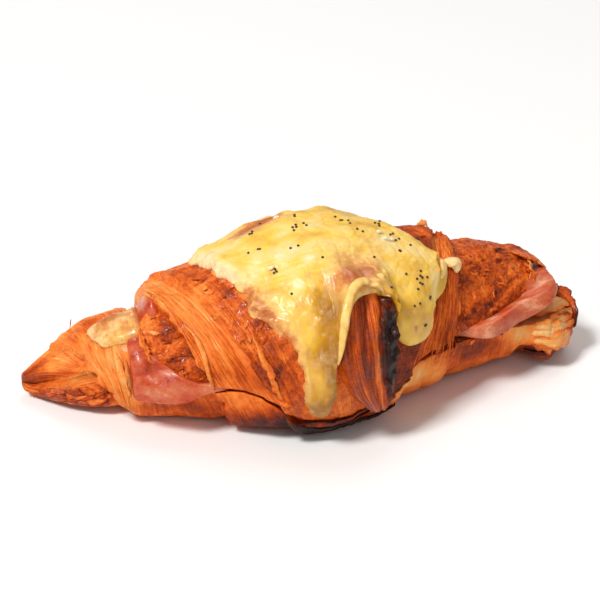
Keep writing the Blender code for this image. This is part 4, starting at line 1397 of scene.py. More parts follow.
def melted_mild_cheese(settings):
    """Grated mild cheese, melted and baked: soft and waxy, pale where it is thick and matte, deep
    yellow in its valleys, browned, wet and a little see-through where it is thin. Its palest
    spots are partly painted highlights."""
    made, tree, shader = new_material("melted_mild_cheese")
    place = add_node(tree, "ShaderNodeTexCoord", {}, "Object")
    flow = add_node(tree, "ShaderNodeAttribute", {}, "Vector", attribute_name="grain")
    tone, toast, wet = (
        add_node(tree, "ShaderNodeAttribute", {}, "Fac", attribute_name=name)
        for name in ("tone", "toast", "wet")
    )
    broad = noise(tree, place, 9 * MM, 2)
    streaks = noise(tree, flow, 3 * MM, 2, (1, 0.2, 1))
    fine = noise(tree, place, 2.2 * MM, 3)
    pores = noise(tree, place, 0.8 * MM, 2)
    soft_stops = (
        (0.0, settings.pale_cheese_colour),
        (0.4, settings.cheese_colour),
        (0.72, settings.deep_cheese_colour),
        (1.0, linear("#a8701f")),
    )
    tone = weighted(tree, tone, (broad, 1.0), (streaks, 0.25), (fine, 0.12))
    soft = add_node(tree, "ShaderNodeValToRGB", {0: tone}, stops=soft_stops)
    toasted_stops = (
        (0.15, linear("#efc68c")),
        (0.5, linear("#dc934e")),
        (0.9, settings.toasted_cheese_colour),
    )
    toast = weighted(tree, toast, (fine, 0.8), (broad, 0.3))
    speckled = weighted(tree, toast, (pores, 0.3))
    toasted = add_node(tree, "ShaderNodeValToRGB", {0: speckled}, stops=toasted_stops)
    share = add_node(tree, "ShaderNodeClamp", {"Value": add_up(tree, 0, (toast, 1.6))})
    oil = add_node(tree, "ShaderNodeClamp", {"Value": weighted(tree, 0, (broad, 1.6), (fine, 1.0))})
    film = add_up(tree, oil, (wet, 0.7))
    relief = weighted(tree, 0, (fine, 0.22), (streaks, 0.16), (pores, 0.14))
    fill(tree, shader, {
        "Base Color": add_node(tree, "ShaderNodeMix", {0: share, 6: soft, 7: toasted}, 2, data_type="RGBA"),
        "Roughness": weighted(tree, add_up(tree, 0.46, (wet, -0.24)), (fine, 0.5)),
        "Normal": add_node(tree, "ShaderNodeBump", {"Height": relief, "Distance": 0.6 * MM}),
        "Coat Weight": add_node(tree, "ShaderNodeClamp", {"Value": film}),
        "Coat Roughness": 0.16,
        "Coat IOR": 1.4,
        "IOR": 1.42,
        "Subsurface Weight": 0.25,
        "Subsurface Radius": (1.0, 0.7, 0.2),
        "Subsurface Scale": 2 * MM,
    })
    return made


def poppy_hull(settings):
    """Dry poppy seed: slate black with a pitted, slightly shiny hull."""
    made, tree, shader = new_material("poppy_hull")
    pits = noise(tree, add_node(tree, "ShaderNodeTexCoord", {}, "Object"), 0.25 * MM, 1)
    stops = ((0.35, settings.poppy_colour), (0.7, linear("#4b4038")))
    fill(tree, shader, {
        "Base Color": add_node(tree, "ShaderNodeValToRGB", {0: pits}, stops=stops),
        "Normal": add_node(tree, "ShaderNodeBump", {"Height": pits, "Distance": 0.1 * MM}),
        "Roughness": 0.4,
    })
    return made


def sesame_hull(settings):
    """Hulled sesame seed: smooth, creamy and waxy."""
    made, tree, shader = new_material("sesame_hull")
    tint = noise(tree, add_node(tree, "ShaderNodeTexCoord", {}, "Object"), 1 * MM, 1)
    stops = ((0.3, settings.sesame_colour), (0.8, linear("#e8cf94")))
    fill(tree, shader, {
        "Base Color": add_node(tree, "ShaderNodeValToRGB", {0: tint}, stops=stops),
        "Roughness": 0.4,
        "Subsurface Weight": 0.2,
        "Subsurface Radius": (1.0, 0.8, 0.5),
        "Subsurface Scale": 0.6 * MM,
    })
    return made


def shared(make, settings):
    """The material that make builds, built once."""
    return bpy.data.materials.get(make.__name__) or make(settings)


# ---------------------------------------------------------------- pastry pieces


def crust_fields(x, angle, lower):
    """The crust's looks as the fields that its material reads."""
    bake, streaks, flaky, gloss = crust_look(x, angle, lower)
    return {"bake": bake, "streaks": streaks, "flaky": flaky, "gloss": gloss, "grain": grain(x, angle)}


def tip_forward(x):
    """How far the lower half's right end is bent to the front."""
    return TIP_FORWARD * ease((x - TIP_STARTS) / TIP_BEND)


def lower_half(settings):
    """The lower half with the whole left tip, the flared burnt rim and the right tip."""
    rim_x, rim_length, rim_angle, rim_turn = RIM_PLACE

    def high(x, front_side):
        lip, middle = lower_lip(x, front_side)
        kept = HEIGHT * ease((TORN_END - x) / TORN_SLOPE + 0.5)
        return lip + ragged(x) + kept, middle + kept

    def skin(x, angle):
        along = np.exp(-(((x - rim_x) / rim_length) ** 4))
        return on_roll(x, angle, RIM_FLARE * along * hill(angle - rim_angle, rim_turn), lower=True)

    def ring(x, angle):
        points = split_ring(x, angle, whole_below, high, skin, None, tray)
        points[:, 1] -= tip_forward(x)
        points[:, 2] = np.maximum(points[:, 2], 0)
        return points

    def place(t, angle):
        points = drawn_to_poles(t, BOTTOM_ENDS, lambda x: ring(x, angle), END_BULGE)
        end, length, least, middle = TIP_ROUND
        keep = 1 - (1 - least) * np.clip(1 - (points[:, 0] - end) / length, 0, 1) ** 2
        points[:, 1] = roll_back(points[:, 0]) + (points[:, 1] - roll_back(points[:, 0])) * keep
        points[:, 2] = middle + (points[:, 2] - middle) * keep
        x = between(BOTTOM_ENDS, t)
        fields = crust_fields(x, angle, lower=True)
        first, last, turn, length = TORN_INSIDE
        inside = ease((angle - first) / turn) * ease((last - angle) / turn) * ease((x - TORN_END) / length)
        fields["bake"] = fields["bake"] * (1 - inside) + TORN_BAKE * inside
        cap = ease((t - 1) / POLE_CAP * 1.1 + 1.1)
        points[:, 0] += CAP_RELIEF * cap * lumps(points * (0, 1, 1), 6 * MM, 27)
        torn = CAP_BAKE[0] + CAP_BAKE[1] * crumble(points * (0, 1, 1), CAP_BAKE[2], 28)
        fields["bake"] = fields["bake"] * (1 - cap) + torn * cap
        fields["flaky"] = fields["flaky"] * (1 - cap) + 0.8 * cap
        return points, fields

    warp_t = ((0, 0), (0.06, 0.05), (0.3, 0.21), (0.74, 0.79), (0.94, 0.95), (1, 1))
    warp_angle = ((-90, -90), (-80, -60), (250, 230), (270, 270))
    piece = moved_ball("crust_lower_half", CRUST_ROWS, place, warp_t, warp_angle)
    return dress(piece, shared(baked_laminated_dough, settings), "baked_pastry", "pastry_bottom")


def top_ends(angle):
    """X of the upper half's two ends, with the notch where the ham stands up."""
    notch = RIDGE_SETBACK * ease((angle - 60) / 30)
    for depth, middle, spread in (NOTCH, BACK_SETBACK):
        notch = notch + depth * hill(angle - middle, spread)
    inside = ease((angle + 90) / 45)
    sweep, fade = TOP_LEFT_SWEEP
    swept_back = sweep * np.exp(-np.clip(angle, 0, None) / fade) * inside
    undercut = TOP_RIGHT_UNDERCUT * ease((85 - angle) / 60) * inside
    return TOP_LEFT_END + swept_back + notch, TOP_RIGHT_END - undercut


def upper_half(settings):
    """The upper half: an arched shell over the filling, with the tongue on its front."""

    def place(t, angle):
        def ring(x):
            return split_ring(x, angle, torn_upper_lip, whole_above, on_roll, pocket, None)

        ends = top_ends(angle)
        points = drawn_to_poles(t, ends, ring, END_BULGE / 2)
        return points, crust_fields(between(ends, t), angle, lower=False)

    warp_angle = ((-90, -90), (-68, -25), (248, 205), (270, 270))
    piece = moved_ball("crust_upper_half", CRUST_ROWS, place, None, warp_angle)
    return dress(piece, shared(baked_laminated_dough, settings), "baked_pastry", "pastry_top")


def flakes(settings):
    """Every thin piece of the crust, drawn from one random sequence."""
    rng = np.random.default_rng(FLAKE_RANDOM)
    layer_strands("upper_layer_strands", rng, UPPER_STRANDS, False, settings)
    layer_strands("lower_layer_strands", rng, LOWER_STRANDS, True, settings)
    crust_scales(rng, settings)
    dough_strips(settings)


def grain_x(across, angle):
    """X of the grain's line that is this far across the layers."""
    lines = np.array(GRAIN_LINES) * MM
    widths = (lines[:, 0] + lines[:, 1]) / 2
    index = np.clip(np.searchsorted(widths, across) - 1, 0, len(widths) - 2)
    share = (across - widths[index]) / (widths[index + 1] - widths[index])
    start, end = (line_at(lines[index + k].T, angle) for k in (0, 1))
    return start + (end - start) * share


def layer_strands(name, rng, spans, lower, settings):
    """Thin strands of crisp dough that lie along the layers where these show at the surface."""
    rows = []
    for first, last, low, high, count in spans:
        middle, half = rng.uniform(low, high, count), rng.uniform(*STRAND_REACH, count)
        rows.append((
            rng.uniform(first, last, count) * MM,
            np.maximum(middle - half, low),
            np.minimum(middle + half, high),
            rng.uniform(*STRAND_WIDTH, count),
            rng.normal(0, STRAND_TONE, count),
        ))
    across, low, high, width, tone = np.concatenate(rows, axis=1)

    def place(which, t, angle):
        turn = low[which] + (high[which] - low[which]) * t
        wander = STRAND_SWAY[0] * np.sin(turn / STRAND_SWAY[1] + which)
        side, over = circle(angle) * width[which] * np.sin(t * math.pi) ** 0.7
        x = grain_x(across[which] + wander, turn) + side / 2
        points = on_roll(x, turn, STRAND_HEIGHT * over, lower)
        fields = crust_fields(x, turn, lower)
        fields["bake"] = np.clip(fields["bake"] + tone[which], 0, 1)
        return points, fields

    piece = moved_balls(name, len(across), STRAND_ROWS, place)
    return dress(piece, shared(baked_laminated_dough, settings), "baked_pastry")


def crust_scales(rng, settings):
    """Small brittle scales that curl off the upper half's crust where it is rough."""
    x, turn = (rng.uniform(*ends, SCALES * 6) for ends in SCALE_AREA)
    x = x * MM
    _, _, flaky, _ = crust_look(x, turn, lower=False)
    kept = np.flatnonzero(flaky > rng.uniform(*SCALE_ROUGH, len(x)))[:SCALES]
    x, turn = x[kept], turn[kept]
    heading = rng.uniform(0, math.pi, len(kept))
    long, wide = (rng.uniform(*sizes, len(kept)) * MM for sizes in (SCALE_LENGTH, SCALE_WIDTH))
    tilt = rng.uniform(-SCALE_TILT, SCALE_TILT, len(kept))
    tone = rng.normal(0, SCALE_TONE, len(kept))

    def place(which, t, angle):
        across, up = circle(angle) * np.sin(t * math.pi)
        along = np.cos(t * math.pi)
        step = along * long[which] / 2 * (1 + 0.3 * np.sin(5 * across + which))
        side = across * wide[which] / 2
        cos, sin = np.cos(heading[which]), np.sin(heading[which])
        at_x = x[which] + step * cos - side * sin
        at_turn = turn[which] + (step * sin + side * cos) / DEGREE_LENGTH
        lift = SCALE_THICKNESS * (1 + up) + tilt[which] * step + SCALE_CURL * along**2
        fields = crust_fields(at_x, at_turn, lower=False)
        fields["bake"] = np.clip(fields["bake"] + tone[which], 0, 1)
        return on_roll(at_x, at_turn, lift), fields

    piece = moved_balls("crust_scales", len(kept), SCALE_ROWS, place)
    return dress(piece, shared(baked_laminated_dough, settings), "baked_pastry")


def along_path(stations, s):
    """The columns of a path's stations, read smoothly at s from 0 at its start to 1 at its end."""
    steps = np.linspace(0, 1, len(stations))
    return [smooth_line(list(zip(steps, column)), s) for column in zip(*stations)]


def strip_path(stations, s, lower):
    """Points, and the roll's normals there, along a path of (x mm, angle, lift mm) stations."""
    x, turn, lift = along_path(stations, s)
    points = on_roll(x * MM, turn, lift * MM, lower)
    if lower:
        points[:, 1] -= tip_forward(x * MM)
    return points, roll_normal(x * MM, turn)


def free_path(stations, s, lower):
    """Points along a path of (x, y, z) stations in mm, and the way up."""
    points = np.stack(along_path(stations, s), axis=1)
    return points * MM, np.broadcast_to((0.0, 0.0, 1.0), points.shape)


def strip_place(stations, shape, lower, look, path=strip_path):
    """Place function of a strip of dough or cheese along a path.

    shape has its width and thickness in mm, how far it is turned up off the crust in degrees, how
    far its two edges are lifted in mm, and how uneven they are.
    """
    width, thickness, stand, curl, fray = shape

    def place(t, angle):
        centre, normal = path(stations, t, lower)
        ahead = path(stations, np.clip(t + 0.01, 0, 1), lower)[0]
        behind = path(stations, np.clip(t - 0.01, 0, 1), lower)[0]
        along = (ahead - behind) / np.linalg.norm(ahead - behind, axis=1)[:, None]
        flat = np.cross(along, normal)
        cos, sin = circle(stand)
        side = flat * cos + normal * sin
        over = normal * cos - flat * sin
        reach = np.sin(t * math.pi) ** 0.45
        across, up = circle(angle)
        uneven = 1 + fray * crumble(beside(t * 14 + len(stations), across * 2), 1.0, 3)
        out = across * reach * width * MM / 2 * uneven
        rise = up * reach * thickness * MM / 2 + curl * MM * across**2 * reach
        points = centre + side * out[:, None] + over * rise[:, None]
        return points, look(points, t, across)

    return place


def dough_look(bake, edge, burnt_end):
    """Look of a strip of dough: how baked its middle and its edges are, and its far end's burn."""

    def look(points, t, across):
        tone = bake + (edge - bake) * np.abs(across) ** 3 + burnt_end * ease((t - 0.7) / 0.25)
        even = np.ones_like(t)
        return {
            "bake": np.clip(tone, 0, 1),
            "streaks": 0.6 * even,
            "flaky": 0.4 * even,
            "gloss": 0.4 * even,
            "grain": beside(across * 2 * MM, t * 20 * MM),
        }

    return look


def dough_strips(settings):
    """Edges of layers, torn slivers and folds that stand off the crust."""
    groups = (
        (DOUGH_STRIPS, strip_path, 0),
        (FAN_FOLDS, strip_path, FOLD_BURNT_END),
        (END_FLAPS, free_path, FOLD_BURNT_END),
    )
    places = [
        strip_place(stations, shape, lower, dough_look(bake, edge, burnt_end), path)
        for rows, path, burnt_end in groups
        for stations, (*shape, lower, bake, edge) in rows
    ]
    piece = joined_strips("dough_flakes", places)
    return dress(piece, shared(baked_laminated_dough, settings), "baked_pastry")


def joined_strips(name, places):
    """One piece of several strips."""

    def place(which, t, angle):
        parts = [each(t[which == index], angle[which == index]) for index, each in enumerate(places)]
        points = np.concatenate([part[0] for part in parts])
        return points, {field: np.concatenate([part[1][field] for part in parts]) for field in parts[0][1]}

    return moved_balls(name, len(places), STRIP_ROWS, place)


# ---------------------------------------------------------------- fillings


def slice_share(x):
    """1 where the cheese slice lies on the ham, 0 right of it."""
    return ease((SLICE_ENDS[1] + 2 * MM - x) / (5 * MM))


def shows_left(x):
    """1 where the left ham hangs out of the split, 0 in the middle."""
    return ease((LEFT_SHOWING - x) / SHOWING_FADE)


def shows_right(x):
    """1 where the right ham shows past the crust, 0 in the middle."""
    return ease((x - RIGHT_SHOWING) / (2 * SHOWING_FADE))


def ham_low(x, front_side):
    lip, middle = lower_lip(x, front_side)
    inside = lip + FILLING_CLEARANCE
    hanging = shows_left(x) * front_side
    rise = smooth_line(HAM_RISE, x) * front_side
    return inside + rise + (smooth_line(HAM_TAIL, x) - inside) * hanging, middle + FILLING_CLEARANCE


def ham_high(x, front_side):
    lip, middle = upper_lip(x, front_side)
    shown = np.maximum(shows_left(x), shows_right(x)) * front_side
    raised = (FILLING_CLEARANCE + HAM_TUCK[2]) * shown + ham_corner(x) * front_side
    return lip - FILLING_CLEARANCE + raised, middle - FILLING_CLEARANCE


def ham_corner(x):
    """Extra height of the left ham's end, which stands free of the crust."""
    height, start, width = HAM_CORNER
    return height * ease((start - x) / width)


def ham_skin(x, angle):
    """The ham's edge: it shows past the crust at both ends of the split and stays inside between."""
    front = ease((100 - angle) / 20)
    left, right = shows_left(x) * front, shows_right(x) * front
    ripple = HAM_RIPPLE[0] * np.sin(2 * math.pi * x / HAM_RIPPLE[1]) * (left + right)
    inset = HAM_BACK_INSET + (HAM_INSET - HAM_BACK_INSET) * front
    reach = (LEFT_HAM_OVERHANG + inset) * left + (RIGHT_HAM_OVERHANG + inset) * right - inset
    points = roll_section(x, angle)
    height = points[:, 2]
    folds = HAM_FOLDS[0] * lumps(flat_spot(x, angle) * (0.5, 1.6, 1), HAM_FOLDS[1], 21) * left
    low, wide, deep = HAM_CREASE
    slope, middle = HAM_CREASE_SLOPE
    crease = deep * hill(height - low - slope * (x - middle), wide)
    crease = crease * ease((HAM_CREASE_END[0] - x) / HAM_CREASE_END[1])
    leans, tall, _ = HAM_TUCK
    top = upper_lip(x, True)[0] + ham_corner(x)
    rounding = leans * ease((height - top + tall) / tall)
    out = reach + ripple + folds - (crease + rounding) * left
    points[:, 1] += (points[:, 1] - roll_back(x)) * out / roll_size(x)[0]
    points[:, 1] -= HAM_FORWARD * ease((x - HAM_FORWARD_STARTS) / HAM_BEND)
    return points


def ham_slice(name, ends, node, settings):
    """Folded ham that fills the split from end to end."""

    def ceiling(x, share):
        stand = HAM_STAND * hill(x - HAM_STAND_PLACE[0], HAM_STAND_PLACE[1])
        stand = stand * ease((share - HAM_STAND_SHARE[0]) / HAM_STAND_SHARE[1])
        lowered = slice_share(x) * (SLICE_THICKNESS + FILLING_CLEARANCE) * ease(share * 3)
        return pocket(x, share) + stand - lowered

    def place(t, angle):
        def ring(x):
            return split_ring(x, angle, ham_low, ham_high, ham_skin, level, ceiling)

        points = drawn_to_poles(t, ends, ring)
        middle, change, size = HAM_TONE
        tone = middle + change * lumps(points * (1, 1, 2), size, 3)
        return points, {"tone": tone + spotted(HAM_SPOTS, points[:, 0], points[:, 2] / MM)}

    warp_angle = ((-90, -90), (-70, -45), (70, 60), (180, 180), (270, 270))
    piece = moved_ball(name, HAM_ROWS, place, None, warp_angle)
    work = bmesh.new()
    work.from_mesh(piece.data)
    axes = {"use_axis_x": True, "use_axis_y": True, "use_axis_z": True}
    for _ in range(HAM_SMOOTHING):
        bmesh.ops.smooth_vert(work, verts=work.verts, factor=0.5, **axes)
    work.to_mesh(piece.data)
    work.free()
    return dress(piece, shared(moist_cured_ham, settings), "cooked_ham", node)


def cheese_slice(settings):
    """A slice of cheese on the left ham. Its end has melted out over the tip's shoulder."""

    def place(t, angle):
        reach = np.sin(t * math.pi)
        turn = np.radians(angle)
        left, right = SLICE_ENDS
        uneven = 1 + sum(high * np.sin(count * turn + start) for high, count, start in SLICE_OUTLINE)
        x = (left + right) / 2 + np.cos(turn) * reach * uneven * (right - left) / 2
        inside = ease((x - SLICE_SHOULDER) / SLICE_DIP)
        half = SLICE_HALF_WIDTH[0] + (SLICE_HALF_WIDTH[1] - SLICE_HALF_WIDTH[0]) * inside
        half = half * np.where(np.sin(turn) > 0, SLICE_BACK_SHARE + (1 - SLICE_BACK_SHARE) * inside, 1)
        across = np.sign(np.sin(turn)) * np.abs(np.sin(turn)) ** SLICE_CORNERS
        y = roll_back(x) - SLICE_FORWARD * (1 - inside) + across * reach * uneven * half
        shoulder_angle = 90 - (roll_back(x) - y) / SHOULDER_DEGREE
        shoulder = on_roll(x, shoulder_angle, SLICE_LIFT, lower=True)[:, 2]
        middle = upper_lip(x, True)[1] + POCKET_DEPTH - FILLING_CLEARANCE - SLICE_THICKNESS
        height = shoulder + (middle - shoulder) * inside
        film_x, film_width, film_depth = SLICE_FILM
        film = ease((x - film_x) / film_width)
        puffs = SLICE_PUFFS[0] * lumps(beside(x, y), SLICE_PUFFS[1], 9) - film_depth * film
        top = (SLICE_THICKNESS + puffs) * np.sqrt(np.clip(1 - reach**8, 0, 1))
        points = beside(x, y, height + np.where(t < 0.5, top, -SLICE_ROOT))
        tone, darker, line, spread = SLICE_TONE
        toast = SLICE_TOAST[0] + SLICE_TOAST[1] * film + spotted(SLICE_BUBBLE, x, y / MM)
        return points, {
            "tone": tone + darker * hill(y / MM - line, spread),
            "toast": np.clip(toast, 0, 1),
            "wet": np.full_like(x, SLICE_WET),
            "grain": points,
        }

    piece = moved_ball("melted_cheese_slice", SLICE_ROWS, place)
    return dress(piece, shared(melted_mild_cheese, settings), "cheese_slice", "cheese_slice")


# ---------------------------------------------------------------- the melted cheese


def melt_edge(turn):
    """(x, angle, bow) of the melt's outline, evenly spaced along it as turn goes from 0 to 360."""
    corners = np.array(MELT_OUTLINE + MELT_OUTLINE[:1], dtype=float)
    steps = np.diff(corners[:, :2], axis=0) * (1, DEGREE_LENGTH / MM)
    along = np.concatenate([[0], np.cumsum(np.hypot(*steps.T))])
    places = along * 360 / along[-1]
    wrapped = np.concatenate([places[-3:-1] - 360, places, places[1:3] + 360])
    corners = np.concatenate([corners[-3:-1], corners, corners[1:3]])
    turn = np.mod(turn, 360)
    return [smooth_line(list(zip(wrapped, corners[:, column])), turn) for column in range(3)]


def melt_flow(x, angle):
    """The melt laid out along its flow: along the croissant on top, down its front below."""
    spot = flat_spot(x, angle)
    down = ease((MELT_TURNS[0] - angle) / MELT_TURNS[1])
    across = spot[:, 1] + (spot[:, 0] - spot[:, 1]) * down
    along = spot[:, 0] + (spot[:, 1] - spot[:, 0]) * down
    return beside(across, along, down * 30 * MM)


def melt_lift(share, x, angle):
    """Thickness of the melt: thin and crisp on the left, a fat rolled edge on the right lobe."""
    fat = ease((x + 20 * MM) / (40 * MM))
    body = MELT_THIN_EDGE + (MELT_THICKNESS - MELT_THIN_EDGE) * np.maximum(fat, ease((angle - 40) / 40))
    spot, flow = flat_spot(x, angle), melt_flow(x, angle)
    streaks = MELT_STREAKS[1] * lumps(flow * (1, 0.22, 1), MELT_STREAKS[0], 61)
    bead = MELT_BEAD[1] * hill(share - MELT_BEAD[0], 0.05) * ease((4 * MM - x) / (14 * MM))
    crumbs = MELT_CRUMBS[0] * np.clip(0.4 + crumble(spot, MELT_CRUMBS[1], 62), 0, 1.6)
    crisp = spotted(CHEESE_CRISP, x, angle) * crumbs
    swells = MELT_SWELLS[0] * lumps(spot, MELT_SWELLS[1], 6) + MELT_PORES[0] * lumps(spot, MELT_PORES[1], 33)
    bulges = spotted(CHEESE_BULGES, x, angle) * MM - spotted(CHEESE_PITS, x, angle) * MELT_PIT_DEPTH
    return (body + swells + streaks + bead + crisp + bulges) * np.sqrt(np.clip(1 - share**10, 0, 1))


def melt_look(share, x, angle):
    """Tone of the cheese from 0 pale to 1 deep golden, how toasted it is, and how wet it shines."""
    flow = melt_flow(x, angle)
    edge = ease((share - 0.86) / 0.1) * ease((6 * MM - x) / (14 * MM))
    crisp = np.clip(spotted(CHEESE_CRISP, x, angle), 0, 1)
    tone = MELT_TONE + spotted(CHEESE_TONES, x, angle) + 0.1 * lumps(flow * (1, 0.2, 1), 3.2 * MM, 63)
    tone -= 0.3 * edge * ease((angle - 50) / 20) + 0.35 * crisp
    toast = MELT_TOAST + spotted(CHEESE_TOASTED, x, angle) + 0.18 * edge * ease((angle - 8) / 20)
    wet = spotted(CHEESE_WET, x, angle)
    return {"tone": tone, "toast": np.clip(toast, 0, 1), "wet": np.clip(wet, 0, 1), "grain": flow}


def melted_cheese(settings):
    """The melt itself, and the curls of cheese on its edges."""

    def place(t, angle):
        share = np.sin(t * math.pi) ** 0.8
        edge_x, edge_angle, bow = melt_edge(angle)
        centre_x, centre_angle = MELT_CENTRE
        x = (centre_x + (edge_x - centre_x) * share + 2 * bow * share * (1 - share)) * MM
        round_it = centre_angle + (edge_angle - centre_angle) * share
        frayed = MELT_FRAY[0] * crumble(flat_spot(x, round_it), MELT_FRAY[1], 31) * share**6
        x = x + frayed * ease((5 * MM - x) / (20 * MM))
        lift = np.where(t < 0.5, melt_lift(share, x, round_it), -MELT_ROOT)
        return on_roll(x, round_it, lift), melt_look(share, x, round_it)

    piece = moved_ball("melted_grated_cheese", MELT_ROWS, place, ((0, 0), (0.86, 0.5), (1, 1)))
    dress(piece, shared(melted_mild_cheese, settings), "melted_cheese", "melted_cheese")
    places = [
        strip_place(stations, (*shape, CURL_FRAY), False, curl_look(tone, toast))
        for stations, (*shape, tone, toast) in CHEESE_STRIPS
    ]
    curls = joined_strips("melted_cheese_curls", places)
    dress(curls, shared(melted_mild_cheese, settings), "melted_cheese")


def curl_look(tone, toast):
    """Look of a curl of cheese, with fine ridges across it."""

    def look(points, t, across):
        return {
            "tone": tone + 0.08 * np.sin(t * 60 + 2 * across),
            "toast": toast + 0.2 * across**2,
            "wet": np.full_like(t, CURL_WET),
            "grain": beside(t * 12 * MM, across * MM),
        }

    return look


def scattered_seeds(name, clusters, size, rng, surface):
    """Seeds drawn round each cluster's middle and sunk a little into the cheese, in one mesh."""
    work = bmesh.new()
    for x, angle, count, spread in clusters:
        for step_x, step_round in rng.normal(0, spread * MM, (count, 2)):
            spot = np.array([x * MM + step_x]), np.array([angle + step_round / DEGREE_LENGTH])
            outside, normal = on_roll(*spot, 20 * MM)[0], roll_normal(*spot)[0]
            hit = surface.ray_cast(outside, -normal)[0]
            if hit is None:
                continue
            made = bmesh.ops.create_icosphere(work, subdivisions=2, radius=0.5)["verts"]
            bmesh.ops.scale(work, verts=made, vec=(size[0], size[1], size[1] * SEED_FLATNESS))
            turned = Vector((0, 0, 1)).rotation_difference(Vector(normal)).to_matrix()
            bmesh.ops.rotate(work, verts=made, matrix=turned)
            bmesh.ops.translate(work, verts=made, vec=hit + Vector(normal) * size[1] * SEED_RISE)
    mesh = bpy.data.meshes.new(name)
    work.to_mesh(mesh)
    work.free()
    return finished(name, mesh)


def seeds(settings):
    rng = np.random.default_rng(SEED_RANDOM)
    melt = bpy.data.objects["melted_grated_cheese"]
    surface = BVHTree.FromObject(melt, bpy.context.evaluated_depsgraph_get())
    poppy = scattered_seeds("poppy_seeds", POPPY_CLUSTERS, POPPY_SIZE, rng, surface)
    dress(poppy, shared(poppy_hull, settings), "melted_cheese")
    sesame = scattered_seeds("sesame_seeds", SESAME_CLUSTERS, SESAME_SIZE, rng, surface)
    dress(sesame, shared(sesame_hull, settings), "melted_cheese")


# ---------------------------------------------------------------- stage

CAMERA_TARGET = (-1.7 * MM, 0, 32.8 * MM)
CAMERA_AZIMUTH, CAMERA_ELEVATION, CAMERA_DISTANCE = -15, 27, 565 * MM
CAMERA_LENS = 100  # millimetres
FLOOR_SIZE = 6.0
# Soft boxes: azimuth, elevation, distance, size, power in watts
SOFT_BOXES = {
    "key_light": (-66, 55, 3.0, 0.7, 78),
    "front_light": (5, 38, 3.0, 1.6, 8),
    "back_light": (150, 60, 3.0, 1.6, 20),
}


def direction(azimuth, elevation):
    """Unit vector towards a place seen at this azimuth and elevation. Azimuth 0 is the front, -Y."""
    a, e = math.radians(azimuth), math.radians(elevation)
    return Vector((math.sin(a) * math.cos(e), -math.cos(a) * math.cos(e), math.sin(e)))


def aim(obj, target, towards, distance):
    """Puts a camera or light at this distance from the target, looks back at it, and links it."""
    obj.location = Vector(target) + towards * distance
    obj.rotation_euler = (-towards).to_track_quat("-Z", "Y").to_euler()
    bpy.context.scene.collection.objects.link(obj)


def paper_white(settings):
    """Plain white paper under the croissant: matte and even."""
    made, tree, shader = new_material("paper_white")
    fill(tree, shader, {"Base Color": (*linear("#f7f6f4"), 1), "Roughness": 0.9})
    return made


def stage(settings):
    camera = bpy.data.objects.new("camera", bpy.data.cameras.new("camera"))
    camera.data.lens = CAMERA_LENS
    camera.data.clip_start, camera.data.clip_end = 0.01, 20
    aim(camera, CAMERA_TARGET, direction(CAMERA_AZIMUTH, CAMERA_ELEVATION), CAMERA_DISTANCE)
    bpy.context.scene.camera = camera
    for name, (azimuth, elevation, distance, size, power) in SOFT_BOXES.items():
        light = bpy.data.lights.new(name, "AREA")
        light.size, light.energy = size, power
        aim(bpy.data.objects.new(name, light), (0, 0, 0.03), direction(azimuth, elevation), distance)
    work = bmesh.new()
    bmesh.ops.create_grid(work, x_segments=1, y_segments=1, size=FLOOR_SIZE / 2)
    mesh = bpy.data.meshes.new("floor")
    work.to_mesh(mesh)
    work.free()
    floor = bpy.data.objects.new("floor", mesh)
    bpy.context.scene.collection.objects.link(floor)
    mesh.materials.append(shared(paper_white, settings))
    world = bpy.data.worlds.new("studio")
    world.use_nodes = True
    background = world.node_tree.nodes["Background"]
    background.inputs["Color"].default_value = (1, 0.98, 0.96, 1)
    background.inputs["Strength"].default_value = settings.room_light
    bpy.context.scene.world = world
    bpy.context.scene.view_settings.view_transform = "Standard"


# ---------------------------------------------------------------- add-on


def colour_property(name, description, code):
    return FloatVectorProperty(
        name=name, description=description, default=linear(code), subtype="COLOR", size=3, min=0, max=1
    )


class CroissantSettings(bpy.types.PropertyGroup):
    layer_spacing: FloatProperty(
        name="Layer spacing",
        description="Distance between the fine streaks of the dough's layers",
        default=1.0 * MM,
        unit="LENGTH",
    )
    room_light: FloatProperty(
        name="Room light", description="Strength of the even light from all sides", default=0.25
    )
    raw_colour: colour_property("Pale dough", "Dough that the heat hardly reached", "#f4c98a")
    golden_colour: colour_property("Golden crust", "Evenly baked crust", "#ee7a2c")
    brown_colour: colour_property("Brown crust", "Well browned crust", "#852c04")
    burnt_colour: colour_property("Burnt crust", "Crust burnt black", "#1f0e08")
    ham_colour: colour_property("Ham", "Cooked ham", "#c44c26")
    # Painted shade: the deep ham colour darkens the ham in its folds and crease
    ham_shadow_colour: colour_property("Deep ham", "Ham in its folds", "#962409")
    ham_fat_colour: colour_property("Ham fat", "Fat and seams in the ham", "#e19a74")
    cheese_colour: colour_property("Cheese", "Melted cheese", "#f9c950")
    # The pale cheese colour is partly a painted highlight, in the melt's palest spots
    pale_cheese_colour: colour_property("Pale cheese", "Thick, matte cheese", "#f7dfaa")
    deep_cheese_colour: colour_property("Deep cheese", "Oily cheese in the valleys", "#d09410")
    toasted_cheese_colour: colour_property("Toasted cheese", "Thin, browned cheese", "#bd642b")
    poppy_colour: colour_property("Poppy seed", "Poppy seed hull", "#1b1613")
    sesame_colour: colour_property("Sesame seed", "Sesame seed hull", "#f9eccb")


class CROISSANT_OT_lower_half(bpy.types.Operator):
    """Builds the lower half of the croissant with its left tip"""

    bl_idname = "croissant.lower_half"
    bl_label = "Lower half"

    def execute(self, context):
        lower_half(context.scene.croissant)
        return {"FINISHED"}


class CROISSANT_OT_upper_half(bpy.types.Operator):
    """Builds the upper half of the croissant with its tongue"""

    bl_idname = "croissant.upper_half"
    bl_label = "Upper half"

    def execute(self, context):
        upper_half(context.scene.croissant)
        return {"FINISHED"}


